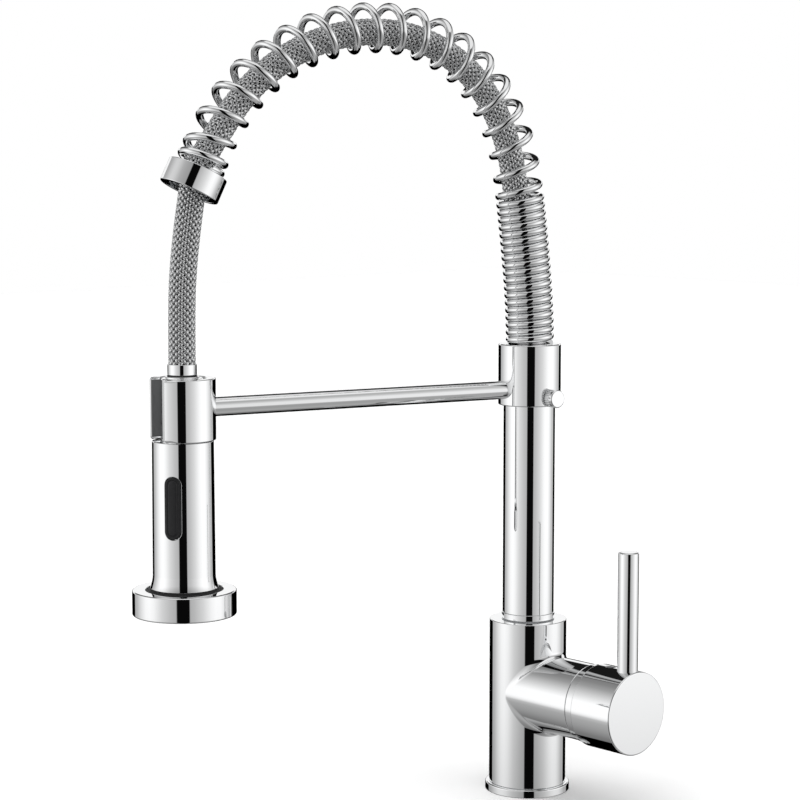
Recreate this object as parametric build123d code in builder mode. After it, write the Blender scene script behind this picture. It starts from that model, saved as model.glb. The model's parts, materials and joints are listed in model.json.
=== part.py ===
from build123d import *
import math
import os

# Pull down kitchen faucet with a spring arch, in millimetres. The origin is the centre of the
# base's underside, on the deck. +Z is up, and +X runs along the side branch to the handle. The
# column is stored swivelled, so that the docking arm points to the front.

# Frame
SPOUT_DEG = -105.2  # heading of the docking arm, from +X
REACH = 220.3  # column axis to spray axis
FIT = 0.05  # radial clearance of a running fit
GAP = 0.3  # clearance between bodies that only pass each other

# Deck and body
BASE_R, BASE_H, BASE_EDGE = 25.1, 4.7, 0.8
BASE_BORE_R = 17.5
GASKET_R, GASKET_BORE_R, GASKET_H = 23.5, 20.1, 1.2
BODY_R, BODY_TOP, BODY_EDGE = 22.85, 103.6, 0.5
BLEND_R = 3.0  # where the branch leaves the body
OUTLET_R, OUTLET_Z = 7.0, 65.0
INLET_X, INLET_Y, INLET_R, INLET_DEPTH = 3.0, 9.0, 4.5, 15.0
STUD_X, STUD_R, STUD_DEPTH = 12.5, 3.0, 14.0

# Side branch, cartridge and handle, all about the cartridge axis
BRANCH_Z, BRANCH_R, BRANCH_END = 60.8, 22.6, 51.4
CHAMBER_FLOOR, CHAMBER_R = 9.0, 17.6
PORT_R, PORT_SIDE, PORT_LOW, PORT_HIGH = 3.5, 7.5, -5.0, 8.0
PORT_TOP = 60.0  # the upright waterways from the inlets end inside the branch
CARTRIDGE_R = 17.5
SEAL_R, SEAL_H = 5.2, 1.0
HOUSING_START, HOUSING_FLOOR, HOUSING_LIP, HOUSING_END = 10.0, 12.5, 36.2, 38.0
HOUSING_BORE_R, HOUSING_LIP_R = 15.0, 13.0
FIXED_DISC_R, FIXED_DISC_END = 14.8, 15.5
MOVING_DISC_R, MIX_R, MIX_END, MOVING_DISC_END = 8.8, 4.5, 18.0, 19.0
CARRIER_FLOOR, CARRIER_END = 20.5, 27.0
TURRET_R, TURRET_START, TURRET_FACE, TURRET_END = 14.8, 27.4, 35.8, 43.8
EAR_SIDE, EAR_WIDTH, EAR_HEIGHT = 6.8, 4.4, 9.0
PIN_R, PIN_LENGTH = 2.0, 18.0
NUT_BORE_R, NUT_END = 13.2, 44.0
PIVOT_X = 40.0  # the lift axis crosses the cartridge axis here
RING_R, RING_START, RING_END = 23.0, 51.7, 56.5
DOME_R = math.hypot(RING_R, RING_END - PIVOT_X)
DOME_WALL, DOME_FOOT_X, DOME_HOLE_R = 2.2, 55.0, 15.5
RING_SEAT_X = 44.3  # the ring's sleeve stops here, against the cartridge nut
HANDLE_R, HANDLE_START, HANDLE_END, HANDLE_EDGE = 24.2, 56.8, 86.4, 0.8
SPINDLE_SIDE, SPINDLE_START, SPINDLE_END = 8.0, 34.0, 79.0
TAIL_BALL_X, TAIL_BALL_R, TAIL_R = 24.0, 2.9, 2.0
LEVER_X, LEVER_R, LEVER_FOOT, LEVER_TOP = 79.0, 5.95, 80.0, 153.7
SCREW_X, SCREW_INTO = 66.5, (11.0, 0, -19.4)  # where the set screw enters, and its slant
SCREW_R, SCREW_DEPTH, SCREW_LENGTH, SCREW_KEY = 2.5, 14.3, 7.2, 2.5

# Column
COLUMN_R, COLUMN_BORE_R = 15.2, 13.5
FOOT_R, FOOT_LIP_Z, FOOT_TOP = 15.7, 104.2, 107.6
SPIGOT_LOW, SPIGOT_BORE_R = 86.0, 7.0
SEAL_GROOVES, SEAL_GROOVE_R, SEAL_GROOVE_H = (88.5, 93.5), 12.6, 2.4
CLIP_Z, CLIP_R, CLIP_BORE_R, CLIP_H = 99.1, 15.5, 13.4, 1.2
SPOUT_BORE_R, SPOUT_BORE_Z = 14.5, 84.0
CONNECTOR_LOW, CONNECTOR_BORE_R, CONNECTOR_HEX_R, CONNECTOR_HEX_H = 88.0, 3.0, 9.0, 3.6
BARB_H = 14.0
TUBE_TOP = 258.0
HOSE_R, HOSE_BORE_R = 7.5, 4.6

# Docking arm
COLLAR_R, COLLAR_LOW, COLLAR_TOP, COLLAR_EDGE = 18.4, 231.9, 267.9, 0.7
SEAT_R, SPIGOT_R, SPIGOT_H = 12.0, 9.5, 4.0
HOSE_FOOT_Z = 262.0
ARM_Z, ARM_R, ARM_START, ARM_POCKET = 241.1, 5.35, 16.5, 2.0
DOCK_R, DOCK_BORE_R, DOCK_SLOT = 18.2, 13.1, 19.0
DOCK_LOW, DOCK_TOP, DOCK_EDGE = 224.0, 258.0, 0.8
THUMB_DEG, THUMB_Z, THUMB_R = -6.0, 237.0, 5.25
THUMB_SHANK_R, THUMB_HEAD, THUMB_DISC, THUMB_END = 2.5, 18.8, 23.0, 25.8
KNURL_R, KNURL_COUNT = 0.35, 20

# Spring arch: turn in degrees and radius of each arc, from the collar upwards
ARCH = ((9.7, 605), (35, 99), (41.3, 88.5), (68.5, 113.7))
ARCH_END_RUN = 15.0
SPRING_R, SPRING_BORE_R = 14.2, 9.9
CAP_R, CAP_LENGTH, CAP_BORE_R, CAP_WEB, CAP_EDGE = 16.8, 13.3, 14.6, 3.0, 0.5
BUSHING_R, BUSHING_FLANGE_R, BUSHING_FLANGE = 9.5, 12.0, 1.5
STUB_LENGTH, HOSE_START = 4.5, 6.6
HOSE_POINTS = ((216.1, 343.0), (219.5, 314.0), (220.3, 289.0))  # reach and height

# Spray head, about the vertical axis through the dock
NECK_R, NECK_TOP, NECK_BORE_R, NECK_FLOOR = 11.6, 257.8, 8.7, 238.5
FERRULE_R, FERRULE_LOW, FERRULE_TOP = 8.0, 259.6, 265.6
NIPPLE_R, NIPPLE_LOW, NIPPLE_TOP, NIPPLE_STEM_R, NIPPLE_BORE_R = 8.65, 240.3, 250.0, 6.0, 3.2
WATERWAY_R = 4.0
SPRAY_R, SPRAY_TOP, SPRAY_EDGE = 16.9, 223.7, 0.5
SPRAY_LOW_R, FLARE_TOP = 17.25, 150.0  # the barrel widens a little, down to the flare
FLARE_R, FLARE_LOW = 19.8, 140.3
SPRAY_BORE_R, SPRAY_CEILING = 13.8, 219.0
CORE_R, CORE_LOW, CORE_TOP, CORE_BORE_R = 13.6, 151.0, 218.5, 5.0
FACE_R, FACE_LOW, FACE_TOP, FACE_EDGE = 28.7, 127.3, 141.2, 0.8
FACE_BORE_R, FACE_CEILING, FACE_NECK_R, RECESS_R = 26.9, 138.3, 14.2, 20.7
PLATE_R, PLATE_BORE_R, PLATE_LOW, PLATE_TOP, PAD_TOP = 26.8, 9.2, 128.3, 130.7, 132.3
MANIFOLD_TOP, MANIFOLD_STEM_R, MANIFOLD_END = 138.2, 13.7, 150.8
AERATOR_R, AERATOR_LOW, AERATOR_TOP, AERATOR_HOLE_R, AERATOR_PITCH_R = 9.1, 127.8, 132.2, 1.2, 4.6
NOZZLE_RINGS = ((15.5, 12), (20.0, 16), (24.2, 20))  # pitch radius and count
NOZZLE_HOLE_R, NOZZLE_R, NOZZLE_LOW = 1.1, 1.0, 127.7
BUTTON_DEG, BUTTON_Z, BUTTON_W, BUTTON_H = -57.7, 188.3, 9.3, 34.8
BUTTON_BACK, BUTTON_FACE, BUTTON_PAD, BUTTON_STEP = 11.4, 17.1, 0.6, 4.0

UP = Vector(0, 0, 1)
SPOUT = Vector(math.cos(math.radians(SPOUT_DEG)), math.sin(math.radians(SPOUT_DEG)), 0)
SPOUT_SIDE = Plane(origin=(0, 0, 0), x_dir=SPOUT, z_dir=SPOUT.cross(UP))
CARTRIDGE_SIDE = Plane(origin=(0, 0, BRANCH_Z), x_dir=(1, 0, 0), z_dir=(0, -1, 0))
CARTRIDGE_AXIS = Axis(origin=(0, 0, BRANCH_Z), direction=(1, 0, 0))
PORTS = ((PORT_SIDE, PORT_LOW), (-PORT_SIDE, PORT_LOW), (0, PORT_HIGH))


def level(z, reach=0.0):
    """Horizontal plane at a height, centred on the column or out along the arm."""
    return Plane(origin=SPOUT * reach + UP * z, x_dir=SPOUT, z_dir=UP)


def across(x, y=0.0, z=0.0):
    """Plane that faces +X, centred on the cartridge axis: its own x is +Y and its y is +Z."""
    return Plane(origin=(x, y, BRANCH_Z + z), x_dir=(0, 1, 0), z_dir=(1, 0, 0))


def radial(heading_deg, reach, z, centre=Vector(0, 0, 0)):
    """Upright plane that faces out along a heading, at a distance from a vertical axis."""
    angle = math.radians(heading_deg)
    out = Vector(math.cos(angle), math.sin(angle), 0)
    return Plane(origin=centre + out * reach + UP * z, x_dir=UP.cross(out), z_dir=out)


def save(piece, name):
    piece.label = name
    export_step(piece, f"parts/{name}.step")


def ring(name, plane, outer, inner, height):
    """A plain ring, bush or washer, standing on the plane."""
    with BuildPart() as turned:
        with BuildSketch(plane):
            Circle(outer)
            Circle(inner, mode=Mode.SUBTRACT)
        extrude(amount=height)
    save(turned.part, name)


def tube(name, path, outer, inner):
    """A tube along a path of arcs and runs."""
    with BuildPart() as swept:
        with BuildSketch(Plane(origin=path @ 0, z_dir=path % 0)):
            Circle(outer)
            Circle(inner, mode=Mode.SUBTRACT)
        sweep(path=path)
    save(swept.part, name)
    ideal = math.pi * (outer**2 - inner**2) * path.length
    print(name, "volume over section times length", round(swept.part.volume / ideal, 4))


# ---------------------------------------------------------------- base and body


def base_ring():
    with BuildPart() as base:
        with BuildSketch():
            Circle(BASE_R)
            Circle(BASE_BORE_R, mode=Mode.SUBTRACT)
        extrude(amount=BASE_H)
        top_edges = base.edges().filter_by(GeomType.CIRCLE).group_by(Axis.Z)[-1]
        fillet(top_edges.sort_by(SortBy.LENGTH)[-1], BASE_EDGE)
        with BuildSketch():
            Circle(GASKET_R + 0.1)
            Circle(GASKET_BORE_R - 0.1, mode=Mode.SUBTRACT)
        extrude(amount=GASKET_H, mode=Mode.SUBTRACT)
    save(base.part, "base_ring")
    ring("base_gasket", Plane.XY, GASKET_R, GASKET_BORE_R, GASKET_H)


def faucet_body():
    """Cast body: spout bore on top, cartridge chamber in the branch, inlets and stud holes below."""
    with BuildPart() as body:
        with BuildSketch(Plane.XY.offset(BASE_H)):
            Circle(BODY_R)
        extrude(amount=BODY_TOP - BASE_H)
        with BuildSketch(across(0)):
            Circle(BRANCH_R)
        extrude(amount=BRANCH_END)
        blend = [e for e in body.edges() if e.geom_type not in (GeomType.LINE, GeomType.CIRCLE)]
        fillet(blend, BLEND_R)
        chamfer(body.edges().filter_by(GeomType.CIRCLE).group_by(Axis.Z)[-1], BODY_EDGE)
        chamfer(body.edges().filter_by(GeomType.CIRCLE).group_by(Axis.Z)[0], BODY_EDGE)
        with BuildSketch():
            Circle(BASE_BORE_R - FIT)
        extrude(amount=BASE_H + BODY_EDGE)
        with BuildSketch(Plane.XY.offset(SPOUT_BORE_Z)):
            Circle(SPOUT_BORE_R)
        extrude(amount=BODY_TOP - SPOUT_BORE_Z, mode=Mode.SUBTRACT)
        with BuildSketch(Plane.XY.offset(CLIP_Z - 0.1)):
            Circle(CLIP_R + 0.1)
        extrude(amount=CLIP_H + 0.3, mode=Mode.SUBTRACT)
        with BuildSketch(Plane.XY.offset(OUTLET_Z)):
            Circle(OUTLET_R)
        extrude(amount=SPOUT_BORE_Z - OUTLET_Z, mode=Mode.SUBTRACT)
        with BuildSketch(across(CHAMBER_FLOOR)):
            Circle(CHAMBER_R)
        extrude(amount=BRANCH_END - CHAMBER_FLOOR, mode=Mode.SUBTRACT)
        for bore_r, bore_top in ((INLET_R, INLET_DEPTH), (PORT_R, PORT_TOP)):
            with BuildSketch():
                with Locations((INLET_X, INLET_Y), (INLET_X, -INLET_Y)):
                    Circle(bore_r)
            extrude(amount=bore_top, mode=Mode.SUBTRACT)
        with BuildSketch():
            with Locations((STUD_X, 0), (-STUD_X, 0)):
                Circle(STUD_R)
        extrude(amount=STUD_DEPTH, mode=Mode.SUBTRACT)
        with BuildSketch(across(INLET_X)):
            with Locations(PORTS):
                Circle(PORT_R)
        extrude(amount=CHAMBER_FLOOR - INLET_X, mode=Mode.SUBTRACT)
    save(body.part, "faucet_body")


# ---------------------------------------------------------------- cartridge


def port_seals():
    with BuildPart() as seals:
        with BuildSketch(across(CHAMBER_FLOOR)):
            with Locations(PORTS):
                Circle(SEAL_R)
                Circle(PORT_R + 0.1, mode=Mode.SUBTRACT)
        extrude(amount=SEAL_H)
    save(seals.part, "port_seals")


def fixed_disc():
    """Ceramic disc with the two inlet ports and the outlet port."""
    with BuildPart() as disc:
        with BuildSketch(across(HOUSING_FLOOR)):
            Circle(FIXED_DISC_R)
            with Locations(PORTS):
                Circle(PORT_R, mode=Mode.SUBTRACT)
        extrude(amount=FIXED_DISC_END - HOUSING_FLOOR)
    save(disc.part, "fixed_disc")


def cartridge_housing():
    with BuildPart() as housing:
        with BuildSketch(across(HOUSING_START)):
            Circle(CARTRIDGE_R)
            with Locations(PORTS):
                Circle(PORT_R, mode=Mode.SUBTRACT)
        extrude(amount=HOUSING_FLOOR - HOUSING_START)
        with BuildSketch(across(HOUSING_FLOOR)):
            Circle(CARTRIDGE_R)
            Circle(HOUSING_BORE_R, mode=Mode.SUBTRACT)
        extrude(amount=HOUSING_LIP - HOUSING_FLOOR)
        with BuildSketch(across(HOUSING_LIP)):
            Circle(CARTRIDGE_R)
            Circle(HOUSING_LIP_R, mode=Mode.SUBTRACT)
        extrude(amount=HOUSING_END - HOUSING_LIP)
    save(housing.part, "cartridge_housing")


def moving_disc():
    """Ceramic disc with its mixing hollow, and the plastic carrier that the spindle's tail drives."""
    with BuildPart() as disc:
        with BuildSketch(across(FIXED_DISC_END)):
            Circle(MOVING_DISC_R)
            Circle(MIX_R, mode=Mode.SUBTRACT)
        extrude(amount=MIX_END - FIXED_DISC_END)
        with BuildSketch(across(MIX_END)):
            Circle(MOVING_DISC_R)
        extrude(amount=MOVING_DISC_END - MIX_END)
    save(disc.part, "moving_disc")
    with BuildPart() as carrier:
        with BuildSketch(across(MOVING_DISC_END)):
            Circle(MOVING_DISC_R)
        extrude(amount=CARRIER_END - MOVING_DISC_END)
        with BuildSketch(across(CARRIER_FLOOR)):
            Circle(TAIL_BALL_R + 2 * GAP)
        extrude(amount=CARRIER_END - CARRIER_FLOOR, mode=Mode.SUBTRACT)
    save(carrier.part, "disc_carrier")


def lift_axis(length):
    """Plane across the lift axis, at one end of a length centred on the cartridge axis."""
    return Plane(origin=(PIVOT_X, -length / 2, BRANCH_Z), z_dir=(0, 1, 0))


def cartridge_turret():
    """Rotor in the housing: a slotted disc with two ears that hold the spindle's pin."""
    slot_w = SPINDLE_SIDE + 2 * GAP
    with BuildPart() as turret:
        with BuildSketch(across(TURRET_START)):
            Circle(TURRET_R)
            Rectangle(slot_w, 1.5 * TURRET_R, mode=Mode.SUBTRACT)
        extrude(amount=TURRET_FACE - TURRET_START)
        with BuildSketch(across(TURRET_FACE)):
            with Locations((EAR_SIDE, 0), (-EAR_SIDE, 0)):
                Rectangle(EAR_WIDTH, EAR_HEIGHT)
        extrude(amount=TURRET_END - TURRET_FACE)
        with BuildSketch(lift_axis(2 * TURRET_R)):
            Circle(PIN_R)
        extrude(amount=2 * TURRET_R, mode=Mode.SUBTRACT)
    save(turret.part, "cartridge_turret")
    with BuildPart() as pin:
        with BuildSketch(lift_axis(PIN_LENGTH)):
            Circle(PIN_R)
        extrude(amount=PIN_LENGTH)
    save(pin.part, "spindle_pin")


def spindle():
    """Square spindle, bored for its pin, with a ball tail that shifts the disc carrier."""
    with BuildPart() as bar:
        with BuildSketch(across(SPINDLE_START)):
            Rectangle(SPINDLE_SIDE, SPINDLE_SIDE)
        extrude(amount=SPINDLE_END - SPINDLE_START)
        with BuildSketch(across(TAIL_BALL_X)):
            Circle(TAIL_R)
        extrude(amount=SPINDLE_START - TAIL_BALL_X)
        with Locations((TAIL_BALL_X, 0, BRANCH_Z)):
            Sphere(TAIL_BALL_R)
        with BuildSketch(lift_axis(PIN_LENGTH)):
            Circle(PIN_R + FIT)
        extrude(amount=PIN_LENGTH, mode=Mode.SUBTRACT)
    save(bar.part, "spindle")


# ---------------------------------------------------------------- handle


def dome_arc(radius, far, near):
    """Arc about the lift pivot, from one distance off the cartridge axis to a nearer one."""
    start = math.degrees(math.asin(far / radius))
    end = math.degrees(math.asin(near / radius))
    return CenterArc((PIVOT_X, 0), radius, start, end - start)


def bonnet_ring():
    """Fixed ring with a dome centred on the lift pivot, which the hollow handle rolls over."""
    inner_r = DOME_R - DOME_WALL
    foot_r = math.sqrt(inner_r**2 - (DOME_FOOT_X - PIVOT_X) ** 2)
    with BuildPart() as bonnet:
        with BuildSketch(CARTRIDGE_SIDE):
            with BuildLine():
                outer = dome_arc(DOME_R, RING_R, DOME_HOLE_R)
                inner = dome_arc(inner_r, foot_r, DOME_HOLE_R)
                Line(outer @ 1, inner @ 1)
                Polyline(
                    inner @ 0,
                    (DOME_FOOT_X, DOME_HOLE_R),
                    (RING_SEAT_X, DOME_HOLE_R),
                    (RING_SEAT_X, CARTRIDGE_R),
                    (RING_START, CARTRIDGE_R),
                    (RING_START, RING_R),
                    outer @ 0,
                )
            make_face()
        revolve(axis=CARTRIDGE_AXIS)
    save(bonnet.part, "bonnet_ring")


def screw_axis(depth):
    """Plane on the slanted set screw's axis, a depth below the top of the handle."""
    top = Vector(SCREW_X, 0, BRANCH_Z + HANDLE_R)
    into = Vector(*SCREW_INTO).normalized()
    return Plane(origin=top + into * depth, x_dir=(0, 1, 0), z_dir=into)


def handle():
    hollow_r = DOME_R + GAP
    mouth_r = math.sqrt(hollow_r**2 - (HANDLE_START - PIVOT_X) ** 2)
    rim_x = HANDLE_END - HANDLE_EDGE
    with BuildPart() as shell:
        with BuildSketch(CARTRIDGE_SIDE):
            with BuildLine():
                hollow = dome_arc(hollow_r, mouth_r, 0.0)
                wall = Polyline(hollow @ 0, (HANDLE_START, HANDLE_R), (rim_x, HANDLE_R))
                face_corner = (HANDLE_END, HANDLE_R - HANDLE_EDGE)
                corner = TangentArc(wall @ 1, face_corner, tangent=(1, 0))
                Polyline(corner @ 1, (HANDLE_END, 0), hollow @ 1)
            make_face()
        revolve(axis=CARTRIDGE_AXIS)
        with BuildSketch(across(HANDLE_START)):
            Rectangle(SPINDLE_SIDE + 2 * FIT, SPINDLE_SIDE + 2 * FIT)
        extrude(amount=SPINDLE_END + GAP - HANDLE_START, mode=Mode.SUBTRACT)
        with BuildSketch(Plane.XY.offset(LEVER_FOOT)):
            with Locations((LEVER_X, 0)):
                Circle(LEVER_R)
        extrude(amount=HANDLE_R, mode=Mode.SUBTRACT)
        with BuildSketch(screw_axis(-SCREW_R)):
            Circle(SCREW_R + 0.1)
        extrude(amount=SCREW_DEPTH + SCREW_LENGTH + 2 * SCREW_R, mode=Mode.SUBTRACT)
    save(shell.part, "handle")
    with BuildPart() as rod:
        with BuildSketch(Plane.XY.offset(LEVER_FOOT)):
            with Locations((LEVER_X, 0)):
                Circle(LEVER_R)
        extrude(amount=LEVER_TOP - LEVER_FOOT)
        fillet(rod.edges().filter_by(GeomType.CIRCLE).group_by(Axis.Z)[-1], LEVER_R / 5)
    save(rod.part, "lever")
    with BuildPart() as screw:
        with BuildSketch(screw_axis(SCREW_DEPTH)):
            Circle(SCREW_R)
        extrude(amount=SCREW_LENGTH)
        with BuildSketch(screw_axis(SCREW_DEPTH)):
            RegularPolygon(SCREW_KEY / 2, 6, major_radius=False)
        extrude(amount=SCREW_KEY, mode=Mode.SUBTRACT)
    save(screw.part, "set_screw")


# ---------------------------------------------------------------- column


def column_foot():
    """Brass foot that turns in the body: lip, spigot with two seal grooves and a clip groove."""
    spigot_r = SPOUT_BORE_R - FIT
    with BuildPart() as foot:
        with BuildSketch(level(SPIGOT_LOW)):
            Circle(spigot_r)
        extrude(amount=FOOT_LIP_Z - SPIGOT_LOW)
        with BuildSketch(level(FOOT_LIP_Z)):
            Circle(FOOT_R)
        extrude(amount=FOOT_TOP - FOOT_LIP_Z)
        chamfer(foot.edges().filter_by(GeomType.CIRCLE).group_by(Axis.Z)[-1], FOOT_R - COLUMN_R)
        for groove_z in SEAL_GROOVES:
            with BuildSketch(level(groove_z)):
                Circle(FOOT_R)
                Circle(SEAL_GROOVE_R, mode=Mode.SUBTRACT)
            extrude(amount=SEAL_GROOVE_H, mode=Mode.SUBTRACT)
        with BuildSketch(level(CLIP_Z - GAP)):
            Circle(FOOT_R)
            Circle(CLIP_BORE_R - 0.2, mode=Mode.SUBTRACT)
        extrude(amount=CLIP_H + 2 * GAP, mode=Mode.SUBTRACT)
        with BuildSketch(level(SPIGOT_LOW)):
            Circle(SPIGOT_BORE_R)
        extrude(amount=FOOT_TOP - SPIGOT_LOW, mode=Mode.SUBTRACT)
    save(foot.part, "column_foot")
    with BuildPart() as seals:
        for groove_z in SEAL_GROOVES:
            with BuildSketch(level(groove_z + 0.1)):
                Circle(spigot_r)
                Circle(SEAL_GROOVE_R, mode=Mode.SUBTRACT)
            extrude(amount=SEAL_GROOVE_H - 0.2)
    save(seals.part, "spout_seals")
    with BuildPart() as clip:
        with BuildSketch(level(CLIP_Z)):
            Circle(CLIP_R)
            Circle(CLIP_BORE_R, mode=Mode.SUBTRACT)
            with Locations((CLIP_BORE_R, 0)):
                Rectangle(6.0, 6.0, mode=Mode.SUBTRACT)
        extrude(amount=CLIP_H)
    save(clip.part, "spout_clip")
    ring("spout_washer", level(BODY_TOP), CLIP_R, SPOUT_BORE_R, FOOT_LIP_Z - BODY_TOP)


def column():
    ring("column_tube", level(FOOT_TOP), COLUMN_R, COLUMN_BORE_R, TUBE_TOP - FOOT_TOP)
    hex_top = FOOT_TOP + CONNECTOR_HEX_H
    with BuildPart() as connector:
        with BuildSketch(level(CONNECTOR_LOW)):
            Circle(SPIGOT_BORE_R - FIT)
        extrude(amount=FOOT_TOP - CONNECTOR_LOW)
        with BuildSketch(level(FOOT_TOP)):
            RegularPolygon(CONNECTOR_HEX_R, 6)
        extrude(amount=CONNECTOR_HEX_H)
        with BuildSketch(level(hex_top)):
            Circle(HOSE_BORE_R - FIT)
        extrude(amount=BARB_H)
        with BuildSketch(level(CONNECTOR_LOW)):
            Circle(CONNECTOR_BORE_R)
        extrude(amount=hex_top + BARB_H - CONNECTOR_LOW, mode=Mode.SUBTRACT)
    save(connector.part, "hose_connector")
    ring("riser_hose", level(hex_top), HOSE_R, HOSE_BORE_R, HOSE_FOOT_Z - hex_top)


# ---------------------------------------------------------------- docking arm


def arm_collar():
    with BuildPart() as collar:
        with BuildSketch(level(COLLAR_LOW)):
            Circle(COLLAR_R)
        extrude(amount=COLLAR_TOP - COLLAR_LOW)
        fillet(collar.edges().filter_by(GeomType.CIRCLE), COLLAR_EDGE)
        with BuildSketch(level(COLLAR_LOW)):
            Circle(COLUMN_R + FIT)
        extrude(amount=TUBE_TOP + GAP - COLLAR_LOW, mode=Mode.SUBTRACT)
        with BuildSketch(level(COLLAR_LOW)):
            Circle(SEAT_R)
        extrude(amount=COLLAR_TOP - COLLAR_LOW, mode=Mode.SUBTRACT)
        with BuildSketch(radial(SPOUT_DEG, ARM_START, ARM_Z)):
            Circle(ARM_R)
        extrude(amount=2 * ARM_POCKET, mode=Mode.SUBTRACT)
        with BuildSketch(radial(THUMB_DEG, SEAT_R, THUMB_Z)):
            Circle(THUMB_SHANK_R + FIT)
        extrude(amount=COLLAR_R - SEAT_R + GAP, mode=Mode.SUBTRACT)
    save(collar.part, "arm_collar")
    with BuildPart() as seat:
        with BuildSketch(level(TUBE_TOP + GAP)):
            Circle(SEAT_R)
        extrude(amount=COLLAR_TOP - TUBE_TOP - GAP)
        with BuildSketch(level(COLLAR_TOP)):
            Circle(SPIGOT_R)
        extrude(amount=SPIGOT_H)
        with BuildSketch(level(TUBE_TOP + GAP)):
            Circle(HOSE_R + 0.2)
        extrude(amount=COLLAR_TOP + SPIGOT_H - TUBE_TOP, mode=Mode.SUBTRACT)
    save(seat.part, "spring_seat")


def arm_rod():
    with BuildPart() as rod:
        with BuildSketch(radial(SPOUT_DEG, ARM_START, ARM_Z)):
            Circle(ARM_R)
        extrude(amount=REACH - DOCK_R + ARM_POCKET - ARM_START)
    save(rod.part, "arm_rod")


def dock_clip():
    """Open ring that holds the spray's neck, slotted away from the column."""
    with BuildPart() as dock:
        with BuildSketch(level(DOCK_LOW, REACH)) as outline:
            Circle(DOCK_R)
            Circle(DOCK_BORE_R, mode=Mode.SUBTRACT)
            with Locations((DOCK_R, 0)):
                Rectangle(2 * DOCK_R, DOCK_SLOT, mode=Mode.SUBTRACT)
            tips = outline.vertices().group_by(Axis(origin=(0, 0, 0), direction=SPOUT))[-1]
            fillet(tips, DOCK_EDGE)
        extrude(amount=DOCK_TOP - DOCK_LOW)
        with BuildSketch(radial(SPOUT_DEG, REACH - DOCK_R - ARM_POCKET, ARM_Z)):
            Circle(ARM_R)
        extrude(amount=2 * ARM_POCKET, mode=Mode.SUBTRACT)
    save(dock.part, "dock_clip")


def thumb_screw():
    """Clamp screw with a knurled head and a plain end disc."""
    shank_start = COLUMN_R + 0.2
    core_r = THUMB_R - KNURL_R
    with BuildPart() as screw:
        with BuildSketch(radial(THUMB_DEG, shank_start, THUMB_Z)):
            Circle(THUMB_SHANK_R)
        extrude(amount=THUMB_HEAD - shank_start)
        with BuildSketch(radial(THUMB_DEG, THUMB_HEAD, THUMB_Z)):
            Circle(core_r)
            with PolarLocations(core_r, KNURL_COUNT):
                Circle(KNURL_R, mode=Mode.SUBTRACT)
        extrude(amount=THUMB_DISC - THUMB_HEAD)
        with BuildSketch(radial(THUMB_DEG, THUMB_DISC, THUMB_Z)):
            Circle(THUMB_R)
        extrude(amount=THUMB_END - THUMB_DISC)
        fillet(screw.edges().filter_by(GeomType.CIRCLE).sort_by(Axis.X)[-1], KNURL_R)
    save(screw.part, "thumb_screw")


# ---------------------------------------------------------------- spring arch and hose


def arch_path():
    """Centre line of the spring, in the arm's upright plane, as tangent arcs and an end run."""
    with BuildLine() as arch:
        tip, heading = (0, COLLAR_TOP), (0, 1)
        for turn, radius in ARCH:
            arc = JernArc(tip, heading, radius, -turn)
            tip, heading = arc @ 1, arc % 1
        Line(tip, tip + heading * ARCH_END_RUN)
    return SPOUT_SIDE.from_local_coords(arch.wire())


def spring_arch(path):
    tube("arch_spring", path, SPRING_R, SPRING_BORE_R)
    tube("arch_hose", path, HOSE_R, HOSE_BORE_R)
    ring("hose_foot", level(HOSE_FOOT_Z), HOSE_R, HOSE_BORE_R, COLLAR_TOP - HOSE_FOOT_Z)


def spring_cap(path):
    """Cup that closes the spring's far end: the hose leaves through its bushing."""
    top = Plane(origin=path @ 1, x_dir=SPOUT_SIDE.z_dir, z_dir=path % 1)
    with BuildPart() as cap:
        with BuildSketch(top):
            Circle(CAP_R)
        extrude(amount=CAP_LENGTH)
        fillet(cap.edges().filter_by(GeomType.CIRCLE), CAP_EDGE)
        with BuildSketch(top.offset(CAP_WEB)):
            Circle(CAP_BORE_R)
        extrude(amount=CAP_LENGTH, mode=Mode.SUBTRACT)
        with BuildSketch(top):
            Circle(BUSHING_R)
        extrude(amount=CAP_LENGTH, mode=Mode.SUBTRACT)
    save(cap.part, "spring_cap")
    with BuildPart() as bushing:
        with BuildSketch(top):
            Circle(BUSHING_R)
            Circle(HOSE_R + 0.2, mode=Mode.SUBTRACT)
        extrude(amount=CAP_WEB)
        with BuildSketch(top.offset(CAP_WEB)):
            Circle(BUSHING_FLANGE_R)
            Circle(HOSE_R + 0.2, mode=Mode.SUBTRACT)
        extrude(amount=BUSHING_FLANGE)
    save(bushing.part, "cap_bushing")
    with BuildPart() as stub:
        with BuildSketch(top):
            Circle(HOSE_R)
            Circle(HOSE_BORE_R, mode=Mode.SUBTRACT)
        extrude(amount=STUB_LENGTH)
    save(stub.part, "hose_stub")


def pull_hose(path):
    """Bare hose from the cap to the spray head, along straight runs joined by tangent arcs."""
    exit_point = SPOUT_SIDE.to_local_coords(path @ 1 + (path % 1) * HOSE_START)
    route = [(exit_point.X, exit_point.Y), *HOSE_POINTS, (REACH, FERRULE_TOP)]
    runs = [Vector(*b) - Vector(*a) for a, b in zip(route, route[1:])]
    radii = []
    for before, after in zip(runs, runs[1:]):
        half_turn = math.radians(before.get_angle(after)) / 2
        radii.append(0.45 * min(before.length, after.length) / math.tan(half_turn))
    print("hose radii", [round(r, 1) for r in radii])
    with BuildLine() as line:
        FilletPolyline(*route, radius=radii)
    hose_path = SPOUT_SIDE.from_local_coords(line.wire())
    print("bare hose length", round(hose_path.length, 1), "arch length", round(path.length, 1))
    cap_point = SPOUT_SIDE.to_local_coords(path @ 1)
    print("cap top in the arm's plane", round(cap_point.X, 1), round(cap_point.Y, 1))
    tube("pull_hose", hose_path, HOSE_R, HOSE_BORE_R)


# ---------------------------------------------------------------- spray head


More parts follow.
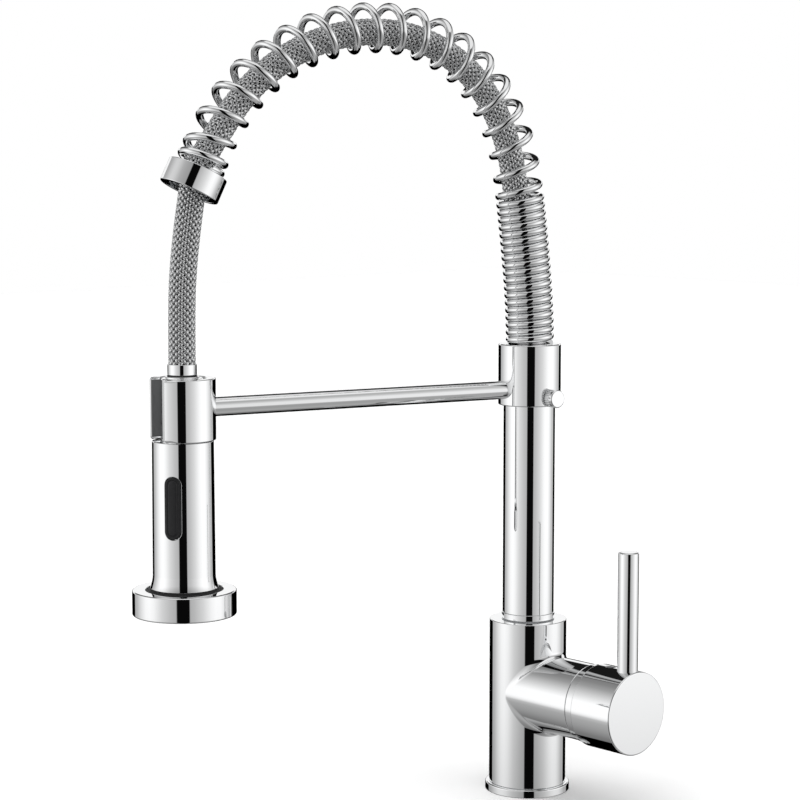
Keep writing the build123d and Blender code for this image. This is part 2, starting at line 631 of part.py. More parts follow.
def hose_end():
    ferrule_h = FERRULE_TOP - FERRULE_LOW
    ring("hose_ferrule", level(FERRULE_LOW, REACH), FERRULE_R, HOSE_BORE_R, ferrule_h)
    with BuildPart() as nipple:
        with BuildSketch(level(NIPPLE_LOW, REACH)):
            Circle(NIPPLE_R)
        extrude(amount=NIPPLE_TOP - NIPPLE_LOW)
        with BuildSketch(level(NIPPLE_TOP, REACH)):
            Circle(NIPPLE_STEM_R)
        extrude(amount=FERRULE_LOW - NIPPLE_TOP)
        with BuildSketch(level(NIPPLE_LOW, REACH)):
            Circle(NIPPLE_BORE_R)
        extrude(amount=FERRULE_LOW - NIPPLE_LOW, mode=Mode.SUBTRACT)
    save(nipple.part, "hose_nipple")
    washer_h = NIPPLE_LOW - NECK_FLOOR - GAP
    washer_low = level(NIPPLE_LOW - washer_h, REACH)
    ring("nipple_washer", washer_low, NECK_BORE_R - GAP, NIPPLE_BORE_R, washer_h)


def spray_neck():
    with BuildPart() as neck:
        with BuildSketch(level(SPRAY_TOP, REACH)):
            Circle(NECK_R)
        extrude(amount=NECK_TOP - SPRAY_TOP)
        fillet(neck.edges().filter_by(GeomType.CIRCLE).group_by(Axis.Z)[-1], FACE_EDGE)
        with BuildSketch(level(NECK_FLOOR, REACH)):
            Circle(NECK_BORE_R)
        extrude(amount=NECK_TOP - NECK_FLOOR, mode=Mode.SUBTRACT)
        with BuildSketch(level(SPRAY_TOP, REACH)):
            Circle(WATERWAY_R)
        extrude(amount=NECK_FLOOR - SPRAY_TOP, mode=Mode.SUBTRACT)
    save(neck.part, "spray_neck")


def pill_at(reach):
    """Plane of the button, at a distance from the spray's axis."""
    return radial(BUTTON_DEG, reach, BUTTON_Z, SPOUT * REACH)


def spray_body():
    """Barrel that widens downwards into a flare, windowed for the button."""
    side = Plane(origin=SPOUT * REACH, x_dir=SPOUT, z_dir=SPOUT_SIDE.z_dir)
    with BuildPart() as body:
        with BuildSketch(side):
            with BuildLine():
                bore = Line((SPRAY_BORE_R, FLARE_LOW), (SPRAY_BORE_R, SPRAY_CEILING))
                neck = Polyline(bore @ 1, (WATERWAY_R, SPRAY_CEILING), (WATERWAY_R, SPRAY_TOP))
                shoulder = Line(neck @ 1, (SPRAY_R - SPRAY_EDGE, SPRAY_TOP))
                rim = Line(shoulder @ 1, (SPRAY_R, SPRAY_TOP - SPRAY_EDGE))
                outside = Line(rim @ 1, (SPRAY_LOW_R, FLARE_TOP))
                flare = TangentArc(outside @ 1, (FLARE_R, FLARE_LOW), tangent=outside % 1)
                Line(flare @ 1, bore @ 0)
            make_face()
        revolve(axis=Axis(origin=SPOUT * REACH, direction=(0, 0, 1)))
        with BuildSketch(pill_at(BUTTON_BACK - 2 * GAP)):
            SlotOverall(BUTTON_H + 2 * GAP, BUTTON_W + 2 * GAP, rotation=90)
        extrude(amount=SPRAY_R, mode=Mode.SUBTRACT)
    save(body.part, "spray_body")


def spray_core():
    """Plastic waterway inside the spray body, hollowed behind the button."""
    core_h = CORE_TOP - CORE_LOW
    with BuildPart() as core:
        with BuildSketch(level(CORE_LOW, REACH)):
            Circle(CORE_R)
        extrude(amount=core_h)
        with BuildSketch(level(CORE_LOW, REACH)):
            Circle(CORE_BORE_R)
        extrude(amount=core_h, mode=Mode.SUBTRACT)
        with BuildSketch(pill_at(BUTTON_BACK - 2.9)):
            SlotOverall(BUTTON_H + 0.8, BUTTON_W + 0.8, rotation=90)
        extrude(amount=CORE_R, mode=Mode.SUBTRACT)
    save(core.part, "spray_core")
    ring("check_valve", level(206.0, REACH), CORE_BORE_R - 0.1, 2.0, 9.0)
    ring("diverter_spool", level(176.0, REACH), CORE_BORE_R - 0.1, 2.0, 18.0)


def spray_button():
    with BuildPart() as button:
        with BuildSketch(pill_at(BUTTON_BACK)):
            SlotOverall(BUTTON_H, BUTTON_W, rotation=90)
        extrude(amount=BUTTON_FACE - BUTTON_BACK)
        with BuildSketch(pill_at(BUTTON_FACE)):
            SlotOverall(BUTTON_H - BUTTON_STEP, BUTTON_W - BUTTON_STEP, rotation=90)
        extrude(amount=BUTTON_PAD)
    save(button.part, "spray_button")


def face_ring():
    with BuildPart() as bell:
        with BuildSketch(level(FACE_LOW, REACH)):
            Circle(FACE_R)
        extrude(amount=FACE_TOP - FACE_LOW)
        fillet(bell.edges().filter_by(GeomType.CIRCLE), FACE_EDGE)
        with BuildSketch(level(FACE_LOW, REACH)):
            Circle(FACE_BORE_R)
        extrude(amount=FACE_CEILING - FACE_LOW, mode=Mode.SUBTRACT)
        with BuildSketch(level(FACE_LOW, REACH)):
            Circle(FACE_NECK_R)
        extrude(amount=FACE_TOP - FACE_LOW, mode=Mode.SUBTRACT)
        with BuildSketch(level(FLARE_LOW - 0.1, REACH)):
            Circle(RECESS_R)
        extrude(amount=FACE_TOP - FLARE_LOW + 0.1, mode=Mode.SUBTRACT)
    save(bell.part, "spray_face_ring")


def nozzle_parts():
    """Face plate, the rubber nozzle pad whose nozzles stand in its holes, manifold and aerator."""
    with BuildPart() as plate:
        with BuildSketch(level(PLATE_LOW, REACH)):
            Circle(PLATE_R)
            Circle(PLATE_BORE_R, mode=Mode.SUBTRACT)
            for pitch_r, count in NOZZLE_RINGS:
                with PolarLocations(pitch_r, count):
                    Circle(NOZZLE_HOLE_R, mode=Mode.SUBTRACT)
        extrude(amount=PLATE_TOP - PLATE_LOW)
    save(plate.part, "face_plate")
    with BuildPart() as pad:
        with BuildSketch(level(PLATE_TOP, REACH)):
            Circle(PLATE_R)
            Circle(PLATE_BORE_R, mode=Mode.SUBTRACT)
        extrude(amount=PAD_TOP - PLATE_TOP)
        with BuildSketch(level(NOZZLE_LOW, REACH)):
            for pitch_r, count in NOZZLE_RINGS:
                with PolarLocations(pitch_r, count):
                    Circle(NOZZLE_R)
        extrude(amount=PLATE_TOP - NOZZLE_LOW)
    save(pad.part, "nozzle_pad")
    with BuildPart() as manifold:
        with BuildSketch(level(PAD_TOP, REACH)):
            Circle(PLATE_R)
        extrude(amount=MANIFOLD_TOP - PAD_TOP)
        with BuildSketch(level(MANIFOLD_TOP, REACH)):
            Circle(MANIFOLD_STEM_R)
        extrude(amount=MANIFOLD_END - MANIFOLD_TOP)
        with BuildSketch(level(PAD_TOP, REACH)):
            Circle(CORE_BORE_R)
        extrude(amount=MANIFOLD_END - PAD_TOP, mode=Mode.SUBTRACT)
    save(manifold.part, "spray_manifold")
    with BuildPart() as aerator:
        with BuildSketch(level(AERATOR_LOW, REACH)):
            Circle(AERATOR_R)
            Circle(AERATOR_HOLE_R, mode=Mode.SUBTRACT)
            with PolarLocations(AERATOR_PITCH_R, 8):
                Circle(AERATOR_HOLE_R, mode=Mode.SUBTRACT)
        extrude(amount=AERATOR_TOP - AERATOR_LOW)
    save(aerator.part, "aerator")


def main():
    os.makedirs("parts", exist_ok=True)
    base_ring()
    faucet_body()
    port_seals()
    cartridge_housing()
    fixed_disc()
    moving_disc()
    cartridge_turret()
    spindle()
    ring("cartridge_nut", across(HOUSING_END), CARTRIDGE_R, NUT_BORE_R, NUT_END - HOUSING_END)
    bonnet_ring()
    handle()
    column_foot()
    column()
    arm_collar()
    arm_rod()
    dock_clip()
    thumb_screw()
    path = arch_path()
    spring_arch(path)
    spring_cap(path)
    pull_hose(path)
    hose_end()
    spray_neck()
    spray_body()
    spray_core()
    spray_button()
    face_ring()
    nozzle_parts()


main()
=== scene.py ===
# %% [markdown]
# # A pull down kitchen faucet with a spring arch
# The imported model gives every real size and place. This lesson dresses it: each chrome piece gets
# a skin with rounded edges and true normals, because polished metal shows every facet, and the
# spring, the braid, the knurl and the nozzles are grown by Geometry Nodes from a few sizes.

# %% Load the frame
import bpy
import json
import math
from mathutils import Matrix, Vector, geometry


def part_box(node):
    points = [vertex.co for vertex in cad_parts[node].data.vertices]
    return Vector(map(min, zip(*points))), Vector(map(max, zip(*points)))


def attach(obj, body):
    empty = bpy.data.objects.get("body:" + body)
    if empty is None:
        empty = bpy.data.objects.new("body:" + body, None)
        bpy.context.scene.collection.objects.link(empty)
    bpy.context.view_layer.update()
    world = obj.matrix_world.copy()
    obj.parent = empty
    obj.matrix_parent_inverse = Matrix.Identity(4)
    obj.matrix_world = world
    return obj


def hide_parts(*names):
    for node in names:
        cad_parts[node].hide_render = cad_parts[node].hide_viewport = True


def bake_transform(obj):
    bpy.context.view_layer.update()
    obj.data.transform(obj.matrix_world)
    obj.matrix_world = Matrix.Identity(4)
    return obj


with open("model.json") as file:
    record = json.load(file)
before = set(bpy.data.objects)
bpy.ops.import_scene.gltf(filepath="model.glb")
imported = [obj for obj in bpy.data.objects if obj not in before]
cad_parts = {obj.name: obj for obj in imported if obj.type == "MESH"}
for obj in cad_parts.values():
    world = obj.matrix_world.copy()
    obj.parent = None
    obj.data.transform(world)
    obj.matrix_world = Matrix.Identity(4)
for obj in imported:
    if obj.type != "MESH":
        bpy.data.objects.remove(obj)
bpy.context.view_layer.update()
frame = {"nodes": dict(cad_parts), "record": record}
NODES = frame["nodes"]
MM = 0.001
X, Y, Z = Vector((1, 0, 0)), Vector((0, 1, 0)), Vector((0, 0, 1))


# %% Read sizes off the frame
def box_mm(node):
    """Lowest and highest corner of a CAD node, in millimetres."""
    low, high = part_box(node)
    return low / MM, high / MM


def middle(node):
    low, high = box_mm(node)
    return (low + high) / 2


def heights(node):
    low, high = box_mm(node)
    return low.z, high.z


def across(node):
    """Half the width of an upright round piece: its radius."""
    low, high = box_mm(node)
    return (high.x - low.x) / 2


def deep(node):
    """Half the depth of a piece that lies along X: its radius."""
    low, high = box_mm(node)
    return (high.y - low.y) / 2


def tall(node):
    """Half the height of a piece that lies level: its radius."""
    low, high = heights(node)
    return (high - low) / 2


SPRAY_AXIS = Vector((middle("spray_face_ring").x, middle("spray_face_ring").y, 0))
REACH = SPRAY_AXIS.length
ARM = SPRAY_AXIS.normalized()  # heading of the docking arm
SIDE = ARM.cross(Z)  # square to the plane that the arch stands in
BRANCH_Z = middle("handle").z
print("reach", round(REACH, 1), "arm heading", round(math.degrees(math.atan2(ARM.y, ARM.x)), 1))

# %% [markdown]
# ## Camera
# A long lens from in front and a little above, so that upright cylinders stay nearly upright.
# It stands 1.35 m away, to the right of the arm, and looks down by six degrees.

# %% Camera
camera_data = bpy.data.cameras.new("camera")
camera_data.sensor_width = 36.0
camera_data.lens = 103.3
camera = bpy.data.objects.new("camera", camera_data)
bpy.context.scene.collection.objects.link(camera)
CAMERA_HEADING = math.radians(47.4)
RIGHT = Vector((math.cos(CAMERA_HEADING), math.sin(CAMERA_HEADING), 0))
BACK = Vector((math.sin(CAMERA_HEADING), -math.cos(CAMERA_HEADING), 0))
camera.location = (RIGHT * -0.0839) + (BACK * 1.3461) + (Z * 0.3856)
FORWARD = Vector((-0.7277, 0.6767, -0.1117))
camera.rotation_mode = "QUATERNION"
camera.rotation_quaternion = FORWARD.to_track_quat("-Z", "Y")
camera_data.clip_end = 50.0
bpy.context.scene.camera = camera
print("camera at", [round(c, 3) for c in camera.location])

# %% [markdown]
# ## Studio
# Polished chrome has no colour of its own: it is a picture of the room. A product studio gives it
# a black flag behind the camera, a large soft box on each side, and dark corners behind, so that
# each cylinder gets a black core line, bright flanks and a dark rim. Here that room is a sky made
# from one ramp round the horizon, times one ramp from nadir to zenith. The floor is plain and
# pale, lit by a broad soft sun, and glossy rays pass through it, so the chrome sees only the room.


# %% Node helper: one call adds a node, sets it and links it
def put(tree, kind, settings=None, **sockets):
    """Adds a node. Settings are its own properties; sockets are values or other nodes' outputs."""
    node = tree.nodes.new(kind)
    for name, value in (settings or {}).items():
        setattr(node, name, value)
    for name, value in sockets.items():
        key = int(name[1:]) if name[0] == "i" and name[1:].isdigit() else name.replace("_", " ")
        target = node.inputs[key]
        if isinstance(value, bpy.types.NodeSocket):
            tree.links.new(value, target)
        else:
            target.default_value = value
    return node


def calc(tree, operation, a, b=0.0, c=0.0):
    """A math node's result."""
    return put(tree, "ShaderNodeMath", {"operation": operation}, i0=a, i1=b, i2=c).outputs[0]


def ramp(tree, factor, stops, interpolation="LINEAR"):
    """A colour ramp from (position, grey) stops."""
    node = put(tree, "ShaderNodeValToRGB", i0=factor)
    node.color_ramp.interpolation = interpolation
    elements = node.color_ramp.elements
    while len(elements) > 1:
        elements.remove(elements[-1])
    for i, (position, grey) in enumerate(stops):
        element = elements[0] if i == 0 else elements.new(position)
        element.position = position
        element.color = (grey, grey, grey, 1)
    return node.outputs[0]


# %% The room as a sky
def degrees_to_unit(pairs, low, high):
    return [((angle - low) / (high - low), grey) for angle, grey in pairs]


ROUND_THE_ROOM = (
    (-180, 0.0), (-137, 0.0), (-134, 0.48), (-122, 0.55), (-104, 0.85), (-90, 1.06), (-78, 1.1),
    (-66, 1.02), (-46, 0.73), (-27, 0.56), (-13, 0.47), (-12, 0.003), (16, 0.003), (17, 0.47),
    (27, 0.54), (46, 0.73), (66, 1.01), (78, 1.1), (92, 1.08), (104, 0.88), (120, 0.56),
    (131, 0.6), (133, 0.0), (180, 0.0),
)  # degrees right of the camera's own direction, and brightness
UP_THE_SIDES = (
    (-90, 0.35), (-42, 0.36), (-25, 0.4), (-18.5, 0.5), (-16.5, 0.68), (-15, 0.78), (-13.5, 0.87),
    (-11, 0.96), (-8, 1.0), (12, 1.0), (25, 0.75), (42, 0.45), (52, 0.45), (58, 0.9), (90, 0.9),
)  # degrees above the horizon, and share of that brightness
UP_THE_BACK = (
    (-90, 0.4), (-68, 0.4), (-60, 0.0), (3, 0.0), (4.5, 0.97), (17, 0.97), (19, 0.01), (49, 0.01),
    (53, 0.5), (90, 0.8),
)  # behind the faucet: dark table, pale backdrop, dark gap, ceiling

world = bpy.data.worlds.new("studio")
bpy.context.scene.world = world
world.use_nodes = True
sky = world.node_tree
sky.nodes.clear()
direction = put(sky, "ShaderNodeTexCoord").outputs["Generated"]
DOT = {"operation": "DOT_PRODUCT"}
to_right = put(sky, "ShaderNodeVectorMath", DOT, i0=direction, i1=RIGHT).outputs["Value"]
to_back = put(sky, "ShaderNodeVectorMath", DOT, i0=direction, i1=BACK).outputs["Value"]
upward = put(sky, "ShaderNodeSeparateXYZ", i0=direction).outputs["Z"]
around = calc(sky, "MULTIPLY_ADD", calc(sky, "ARCTAN2", to_right, to_back), 0.5 / math.pi, 0.5)
above = calc(sky, "MULTIPLY_ADD", calc(sky, "ARCSINE", upward), 1 / math.pi, 0.5)
sides = ramp(sky, around, degrees_to_unit(ROUND_THE_ROOM, -180, 180))
falloff = ramp(sky, above, degrees_to_unit(UP_THE_SIDES, -90, 90))
back = ramp(sky, above, degrees_to_unit(UP_THE_BACK, -90, 90))
aside = calc(sky, "ABSOLUTE", calc(sky, "SUBTRACT", around, 0.5))
behind = calc(sky, "GREATER_THAN", aside, 135.5 / 360)
front = calc(sky, "MULTIPLY", sides, falloff)
ceiling = calc(sky, "GREATER_THAN", above, (58 + 90) / 180)
room = put(sky, "ShaderNodeMix", {"data_type": "FLOAT"}, i0=behind, i2=front, i3=back).outputs[0]
room = put(sky, "ShaderNodeMix", {"data_type": "FLOAT"}, i0=ceiling, i2=room, i3=0.85).outputs[0]
seen = put(sky, "ShaderNodeLightPath").outputs["Is Camera Ray"]
light = put(sky, "ShaderNodeMix", {"data_type": "FLOAT"}, i0=seen, i2=room, i3=1.0).outputs[0]
shine = put(sky, "ShaderNodeBackground", i0=(1, 1, 1, 1), Strength=light)
sky.links.new(shine.outputs[0], put(sky, "ShaderNodeOutputWorld").inputs["Surface"])

sun = bpy.data.lights.new("soft_sun", "SUN")
sun.energy = 2.6
sun.angle = math.radians(85)
sun_object = bpy.data.objects.new("soft_sun", sun)
sun_object.rotation_euler = (math.radians(12), math.radians(8), 0)
sun_object.visible_glossy = False
bpy.context.scene.collection.objects.link(sun_object)
bpy.context.scene.view_settings.view_transform = "Standard"
print("room stops", len(ROUND_THE_ROOM), "sun", sun.energy)

# %% [markdown]
# ## Finishes
# Bright chrome over polished brass: almost a mirror, with a faint unevenness from buffing that
# bends long reflections by a hair and leaves the gloss not quite even. The spring is chromed
# wire and a little less smooth. Braid is drawn stainless wire. The button is moulded plastic
# with a fine spark-eroded grain, the nozzles are silicone and the face plate is satin plastic.


# %% Finishes
def finish(name, colour, metallic, roughness, grain, depth, spread=0.3, coat=0.0):
    """A principled finish whose gloss and surface vary with noise at one grain size in metres."""
    material = bpy.data.materials.new(name)
    material.use_nodes = True
    tree = material.node_tree
    shader = tree.nodes["Principled BSDF"]
    shader.inputs["Base Color"].default_value = (*colour, 1)
    shader.inputs["Metallic"].default_value = metallic
    shader.inputs["Coat Weight"].default_value = coat
    place = put(tree, "ShaderNodeTexCoord").outputs["Object"]
    fine = put(tree, "ShaderNodeTexNoise", Vector=place, Scale=1 / grain, Detail=3.0)
    broad = put(tree, "ShaderNodeTexNoise", Vector=place, Scale=0.12 / grain, Detail=2.0)
    blend = calc(tree, "MULTIPLY", fine.outputs["Fac"], broad.outputs["Fac"])
    gloss = put(tree, "ShaderNodeMapRange", i0=blend, i1=0.1, i2=0.5)
    gloss.inputs[3].default_value = roughness * (1 - spread)
    gloss.inputs[4].default_value = roughness * (1 + spread)
    tree.links.new(gloss.outputs[0], shader.inputs["Roughness"])
    bump = put(tree, "ShaderNodeBump", Height=fine.outputs["Fac"], Distance=depth, Strength=1.0)
    tree.links.new(bump.outputs[0], shader.inputs["Normal"])
    return material


CHROME = finish("polished_chrome", (0.94, 0.945, 0.95), 1.0, 0.028, 0.012, 0.000004)
WIRE = finish("chromed_wire", (0.93, 0.935, 0.94), 1.0, 0.035, 0.006, 0.000004)
BRAID = finish("stainless_braid", (0.72, 0.725, 0.73), 1.0, 0.13, 0.0006, 0.00001)
LINER = finish("hose_liner", (0.012, 0.012, 0.013), 0.0, 0.6, 0.001, 0.00002)
BLACK = finish("black_button_plastic", (0.012, 0.012, 0.013), 0.0, 0.42, 0.0004, 0.00002)
BLACK.node_tree.nodes["Principled BSDF"].inputs["Specular IOR Level"].default_value = 0.3
# Dark grey for the clip's plastic lining, and also painted shade inside the set screw's hole.
DARK = finish("clip_lining_and_bore_shade", (0.11, 0.112, 0.115), 0.0, 0.38, 0.0006, 0.00002)
SILICONE = finish("nozzle_silicone", (0.09, 0.095, 0.1), 0.0, 0.5, 0.0008, 0.00002)
SATIN = finish("satin_plastic", (0.3, 0.31, 0.32), 0.0, 0.4, 0.0006, 0.00002)
# Black rubber for the seals and gaskets. It is also used as painted shade for the gap under the spray
# flare.
RUBBER_AND_GAP_SHADE = finish("seal_rubber_and_gap_shade", (0.02, 0.02, 0.021), 0.0, 0.65, 0.0008, 0.00003)
BRASS = finish("machined_brass", (0.72, 0.53, 0.22), 1.0, 0.22, 0.0008, 0.00002)
STEEL = finish("machined_steel", (0.55, 0.55, 0.56), 1.0, 0.25, 0.0008, 0.00002)
CERAMIC = finish("lapped_ceramic", (0.85, 0.84, 0.8), 0.0, 0.15, 0.001, 0.000005)
PLAIN = {
    "chrome": CHROME, "spring_steel": WIRE, "steel_braid": BRAID, "brass": BRASS, "steel": STEEL,
    "rubber": RUBBER_AND_GAP_SHADE, "ceramic": CERAMIC, "black_plastic": BLACK, "grey_plastic": SATIN,
}
for part in frame["record"]["subparts"]:
    carried = NODES[part["node"]]
    carried.data.materials.clear()
    carried.data.materials.append(PLAIN[part["material_slot"]])
print("finishes", len(PLAIN) + 3)

# %% Floor
PALE = finish("pale_floor", (0.93, 0.93, 0.93), 0.0, 0.6, 0.02, 0.00001)
floor_mesh = bpy.data.meshes.new("floor")
floor_mesh.from_pydata([(-4, -4, 0), (4, -4, 0), (4, 4, 0), (-4, 4, 0)], [], [(0, 1, 2, 3)])
floor_mesh.materials.append(PALE)
floor = bpy.data.objects.new("floor", floor_mesh)
floor.visible_glossy = False
bpy.context.scene.collection.objects.link(floor)

# %% [markdown]
# ## Turned pieces
# Nearly every chrome piece here comes off a lathe. A lathe skin is an outline turned round an
# axis. Blender could shade it from its faces, but then a flat end next to a rounded edge shows a
# smear. Each point is given the normal of the true surface instead, so that a wall of few faces
# reflects like glass. Every corner of an outline has a small radius, as turned metal has.


# %% Skin: points with true normals, merged where they meet
class Skin:
    def __init__(self):
        self.points, self.normals, self.faces, self.known = [], [], [], {}

    def point(self, place, normal):
        key = (round(place.x, 3), round(place.y, 3), round(place.z, 3))
        if key not in self.known:
            self.known[key] = len(self.points)
            self.points.append(place * MM)
            self.normals.append(normal.normalized())
        return self.known[key]

    def face(self, corners):
        """Adds a face, turned to agree with its points' normals; a collapsed one is dropped."""
        ids = [c for i, c in enumerate(corners) if c != corners[i - 1]]
        if len(set(ids)) < 3:
            return
        a, b, c = (self.points[i] for i in (ids[0], ids[1], ids[-1]))
        outward = sum((self.normals[i] for i in ids), Vector())
        if (b - a).cross(c - a).dot(outward) < 0:
            ids.reverse()
        self.faces.append(ids)

    def grid(self, rows):
        """Rows of (place, normal), all of one length."""
        ids = [[self.point(*spot) for spot in row] for row in rows]
        for near, far in zip(ids, ids[1:]):
            for i in range(len(near) - 1):
                self.face([near[i], near[i + 1], far[i + 1], far[i]])

    def sheet(self, rows, outward):
        """Closed rows of places on a curved surface, whose normals are measured from the rows."""
        spots = []
        for i, row in enumerate(rows):
            before, after = rows[max(i - 1, 0)], rows[min(i + 1, len(rows) - 1)]
            count = len(row) - 1
            spots.append([])
            for k, place in enumerate(row):
                along = row[(k + 1) % count] - row[(k - 1) % count]
                normal = along.cross(after[k] - before[k])
                if normal.length < 1e-9:
                    normal = outward.copy()
                spots[-1].append((place, normal if self.keeps(rows, outward) else -normal))
        self.grid(spots)

    def keeps(self, rows, outward):
        """Whether normals measured from the rows point out, judged on the last row."""
        last, inner = rows[-1], rows[-2]
        total = Vector()
        for k in range(len(last) - 1):
            total += (last[(k + 1) % (len(last) - 1)] - last[k - 1]).cross(last[k] - inner[k])
        return total.dot(outward) > 0

    def cap(self, loops, normal):
        """Fills flat closed loops of places; every loop after the first is a hole."""
        ids = [[self.point(place, normal) for place in loop] for loop in loops]
        flat = [i for loop in ids for i in loop]
        for triangle in geometry.tessellate_polygon([[self.points[i] for i in l] for l in ids]):
            self.face([flat[i] for i in triangle])

    def piece(self, name, material, body, *nodes):
        """Makes the mesh object, rides it on its body and hides the CAD nodes that it stands for."""
        mesh = bpy.data.meshes.new(name)
        mesh.from_pydata(self.points, [], self.faces)
        mesh.validate()
        mesh.materials.append(material)
        mesh.shade_smooth()
        mesh.normals_split_custom_set_from_vertices(self.normals)
        made = bpy.data.objects.new(name, mesh)
        bpy.context.scene.collection.objects.link(made)
        if body:
            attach(made, body)
        if nodes:
            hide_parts(*nodes)
        print(name, len(self.faces), "faces")
        return made


# %% Outline: corners with radii become points with normals
def outline(corners, steps=5, closed=False):
    """corners: (out, along, radius), walked with the solid on the left. A corner of no radius
    between two near directions is a point on a curve. Returns (out, along, normal) points."""
    spots = [Vector((out, along)) for out, along, _ in corners]
    result = []
    for i, (out, along, radius) in enumerate(corners):
        here = spots[i]
        before = (here - spots[i - 1]).normalized() if i or closed else None
        follow = spots[(i + 1) % len(spots)]
        after = (follow - here).normalized() if i + 1 < len(spots) or closed else None
        if before is None or after is None or radius == 0:
            travel = ((before or after) + (after or before)).normalized()
            result.append((out, along, travel.y, -travel.x))
            continue
        turn = before.angle_signed(after)  # positive is clockwise
        reach = radius * math.tan(abs(turn) / 2)
        side = 1 if turn < 0 else -1
        first = Vector((before.y, -before.x))
        centre = here - before * reach - first * radius * side
        for k in range(steps + 1):
            swing = -turn * k / steps
            normal = Vector((
                first.x * math.cos(swing) - first.y * math.sin(swing),
                first.x * math.sin(swing) + first.y * math.cos(swing),
            ))
            spot = centre + normal * radius * side
            result.append((spot.x, spot.y, normal.x, normal.y))
    return result


def bow(centre_out, centre_along, radius, start, end, steps=16):
    """Corners along an arc, for an outline. Angles in degrees, 0 is outwards, 90 is along."""
    spots = []
    for k in range(steps + 1):
        angle = math.radians(start + (end - start) * k / steps)
        spots.append((centre_out + radius * math.cos(angle),
                      centre_along + radius * math.sin(angle), 0))
    return spots


def ring_angles(count=128, start=0.0):
    return [start + 2 * math.pi * i / count for i in range(count + 1)]


class Lathe:
    """A place and an axis. Angle 0 is along first, and angles grow towards axis x first."""

    def __init__(self, origin, axis=Z, first=X):
        self.origin, self.axis, self.first = origin, axis, first
        self.second = axis.cross(first)

    def spot(self, angle, out, along, normal_out=1.0, normal_along=0.0):
        spoke = self.first * math.cos(angle) + self.second * math.sin(angle)
        return (
            self.origin + self.axis * along + spoke * out,
            self.axis * normal_along + spoke * normal_out,
        )

    def turn(self, skin, points, angles):
        skin.grid([[self.spot(a, *p) for a in angles] for p in points])


def turned(name, material, body, nodes, lathe, corners, count=128):
    skin = Skin()
    lathe.turn(skin, outline(corners), ring_angles(count))
    return skin.piece(name, material, body, *nodes)


# %% [markdown]
# ## Column, collar and the plain turned pieces
# The column is a straight tube, the collar a thicker sleeve that hides its top. Their outlines
# are read off the frame, and closed all round, so that each mesh is a solid.

# %% Column, collar and base
upright = Lathe(Vector())
COLUMN_R = across("column_tube")
tube_low, tube_top = heights("column_tube")
foot_top = tube_low
FOOT_R = across("column_foot")
LIP_Z = foot_top - 3.4


def sleeve(inner, outer, low, top, edge):
    """Closed outline of a round sleeve. It starts and ends on its inner wall."""
    halfway = (low + top) / 2
    inner_edge = min(edge, 0.4 * (outer - inner))
    return [
        (inner, halfway, 0), (inner, low, inner_edge), (outer, low, edge),
        (outer, top, edge), (inner, top, inner_edge), (inner, halfway, 0),
    ]


turned("column_skin", CHROME, "column", ["column_tube"], upright,
       sleeve(COLUMN_R - 1.5, COLUMN_R, tube_low, tube_top, 0.3))
turned("column_foot_skin", CHROME, "column", ["column_foot"], upright,
       [(0, 86, 0), (14.4, 86, 0.4), (14.4, LIP_Z, 0.1), (FOOT_R, LIP_Z, 0.15),
        (FOOT_R, foot_top, 0.2), (0, foot_top, 0)])
collar_low, collar_top = heights("arm_collar")
COLLAR_R = across("arm_collar")
COLLAR_BORE_R = COLUMN_R + 0.05
turned("collar_skin", CHROME, "docking_arm", ["arm_collar"], upright,
       [(COLLAR_BORE_R, 245, 0), (COLLAR_BORE_R, collar_low, 0.4), (COLLAR_R, collar_low, 0.7),
        (COLLAR_R, collar_top, 0.9), (9.6, collar_top, 0.4), (9.6, 258.4, 0.4),
        (COLLAR_BORE_R, 258.4, 0.3), (COLLAR_BORE_R, 245, 0)])
base_top = heights("base_ring")[1]
BASE_R = across("base_ring")
turned("base_skin", CHROME, "faucet_base", ["base_ring"], upright,
       [(17.5, 2, 0), (17.5, 0, 0.2), (20.0, 0, 0.1), (20.0, 1.2, 0.1), (23.6, 1.2, 0.1),
        (23.6, 0, 0.1), (BASE_R, 0, 0.4), (BASE_R, base_top, 0.8), (17.5, base_top, 0.2),
        (17.5, 2, 0)])

# %% [markdown]
# ## Round walls with holes
# The body, the handle and the spray body are round walls with something let into them: a branch,
# a screw hole and a button. A boolean would leave long thin faces that shade badly in chrome.
# Here the wall near the hole is a patch of spokes, from the hole's rim to a square frame, and the
# rest of the wall is a plain grid that meets the frame point for point.


# %% Pierced wall
def pierced(skin, lathe, radius, centre, half_angle, low, high, rim, inside, columns=28, rows=12,
            steps=8, rest=40, lean=0.0):
    """A round wall between two heights with a hole at an angle. rim(turn) is the hole's edge as
    (angle, along), inside(turn) goes on inwards as (place, normal) spots. The radius is the one
    halfway up, and lean is what it loses for each millimetre up. Returns the angles."""
    halfway, half = (low + high) / 2, (high - low) / 2

    def wall(angle, along):
        return lathe.spot(angle, radius - lean * (along - halfway), along, 1.0, lean)

    top = [(half_angle * (1 - 2 * k / columns), high) for k in range(columns)]
    left = [(-half_angle, high - 2 * half * k / rows) for k in range(rows)]
    bottom = [(-half_angle * (1 - 2 * k / columns), low) for k in range(columns)]
    right = [(half_angle, low + 2 * half * k / rows) for k in range(rows)]
    spokes = []
    for angle, along in top + left + bottom + right + top[:1]:
        turn = math.atan2((along - halfway) / half, angle / half_angle)
        rim_angle, rim_along = rim(turn)
        spoke = []
        for k in range(steps + 1):
            share = k / steps
            spoke.append(wall(centre + angle + (rim_angle - angle) * share,
                              along + (rim_along - along) * share))
        spokes.append(spoke + inside(turn))
    skin.grid(spokes)
    back = 2 * math.pi - 2 * half_angle
    back_angles = [centre + half_angle + back * k / rest for k in range(rest + 1)]
    skin.grid([[wall(a, low + 2 * half * k / rows) for a in back_angles]
               for k in range(rows + 1)])
    front_angles = [centre - half_angle] + [centre + angle for angle, _ in reversed(top)]
    return front_angles + back_angles[1:]


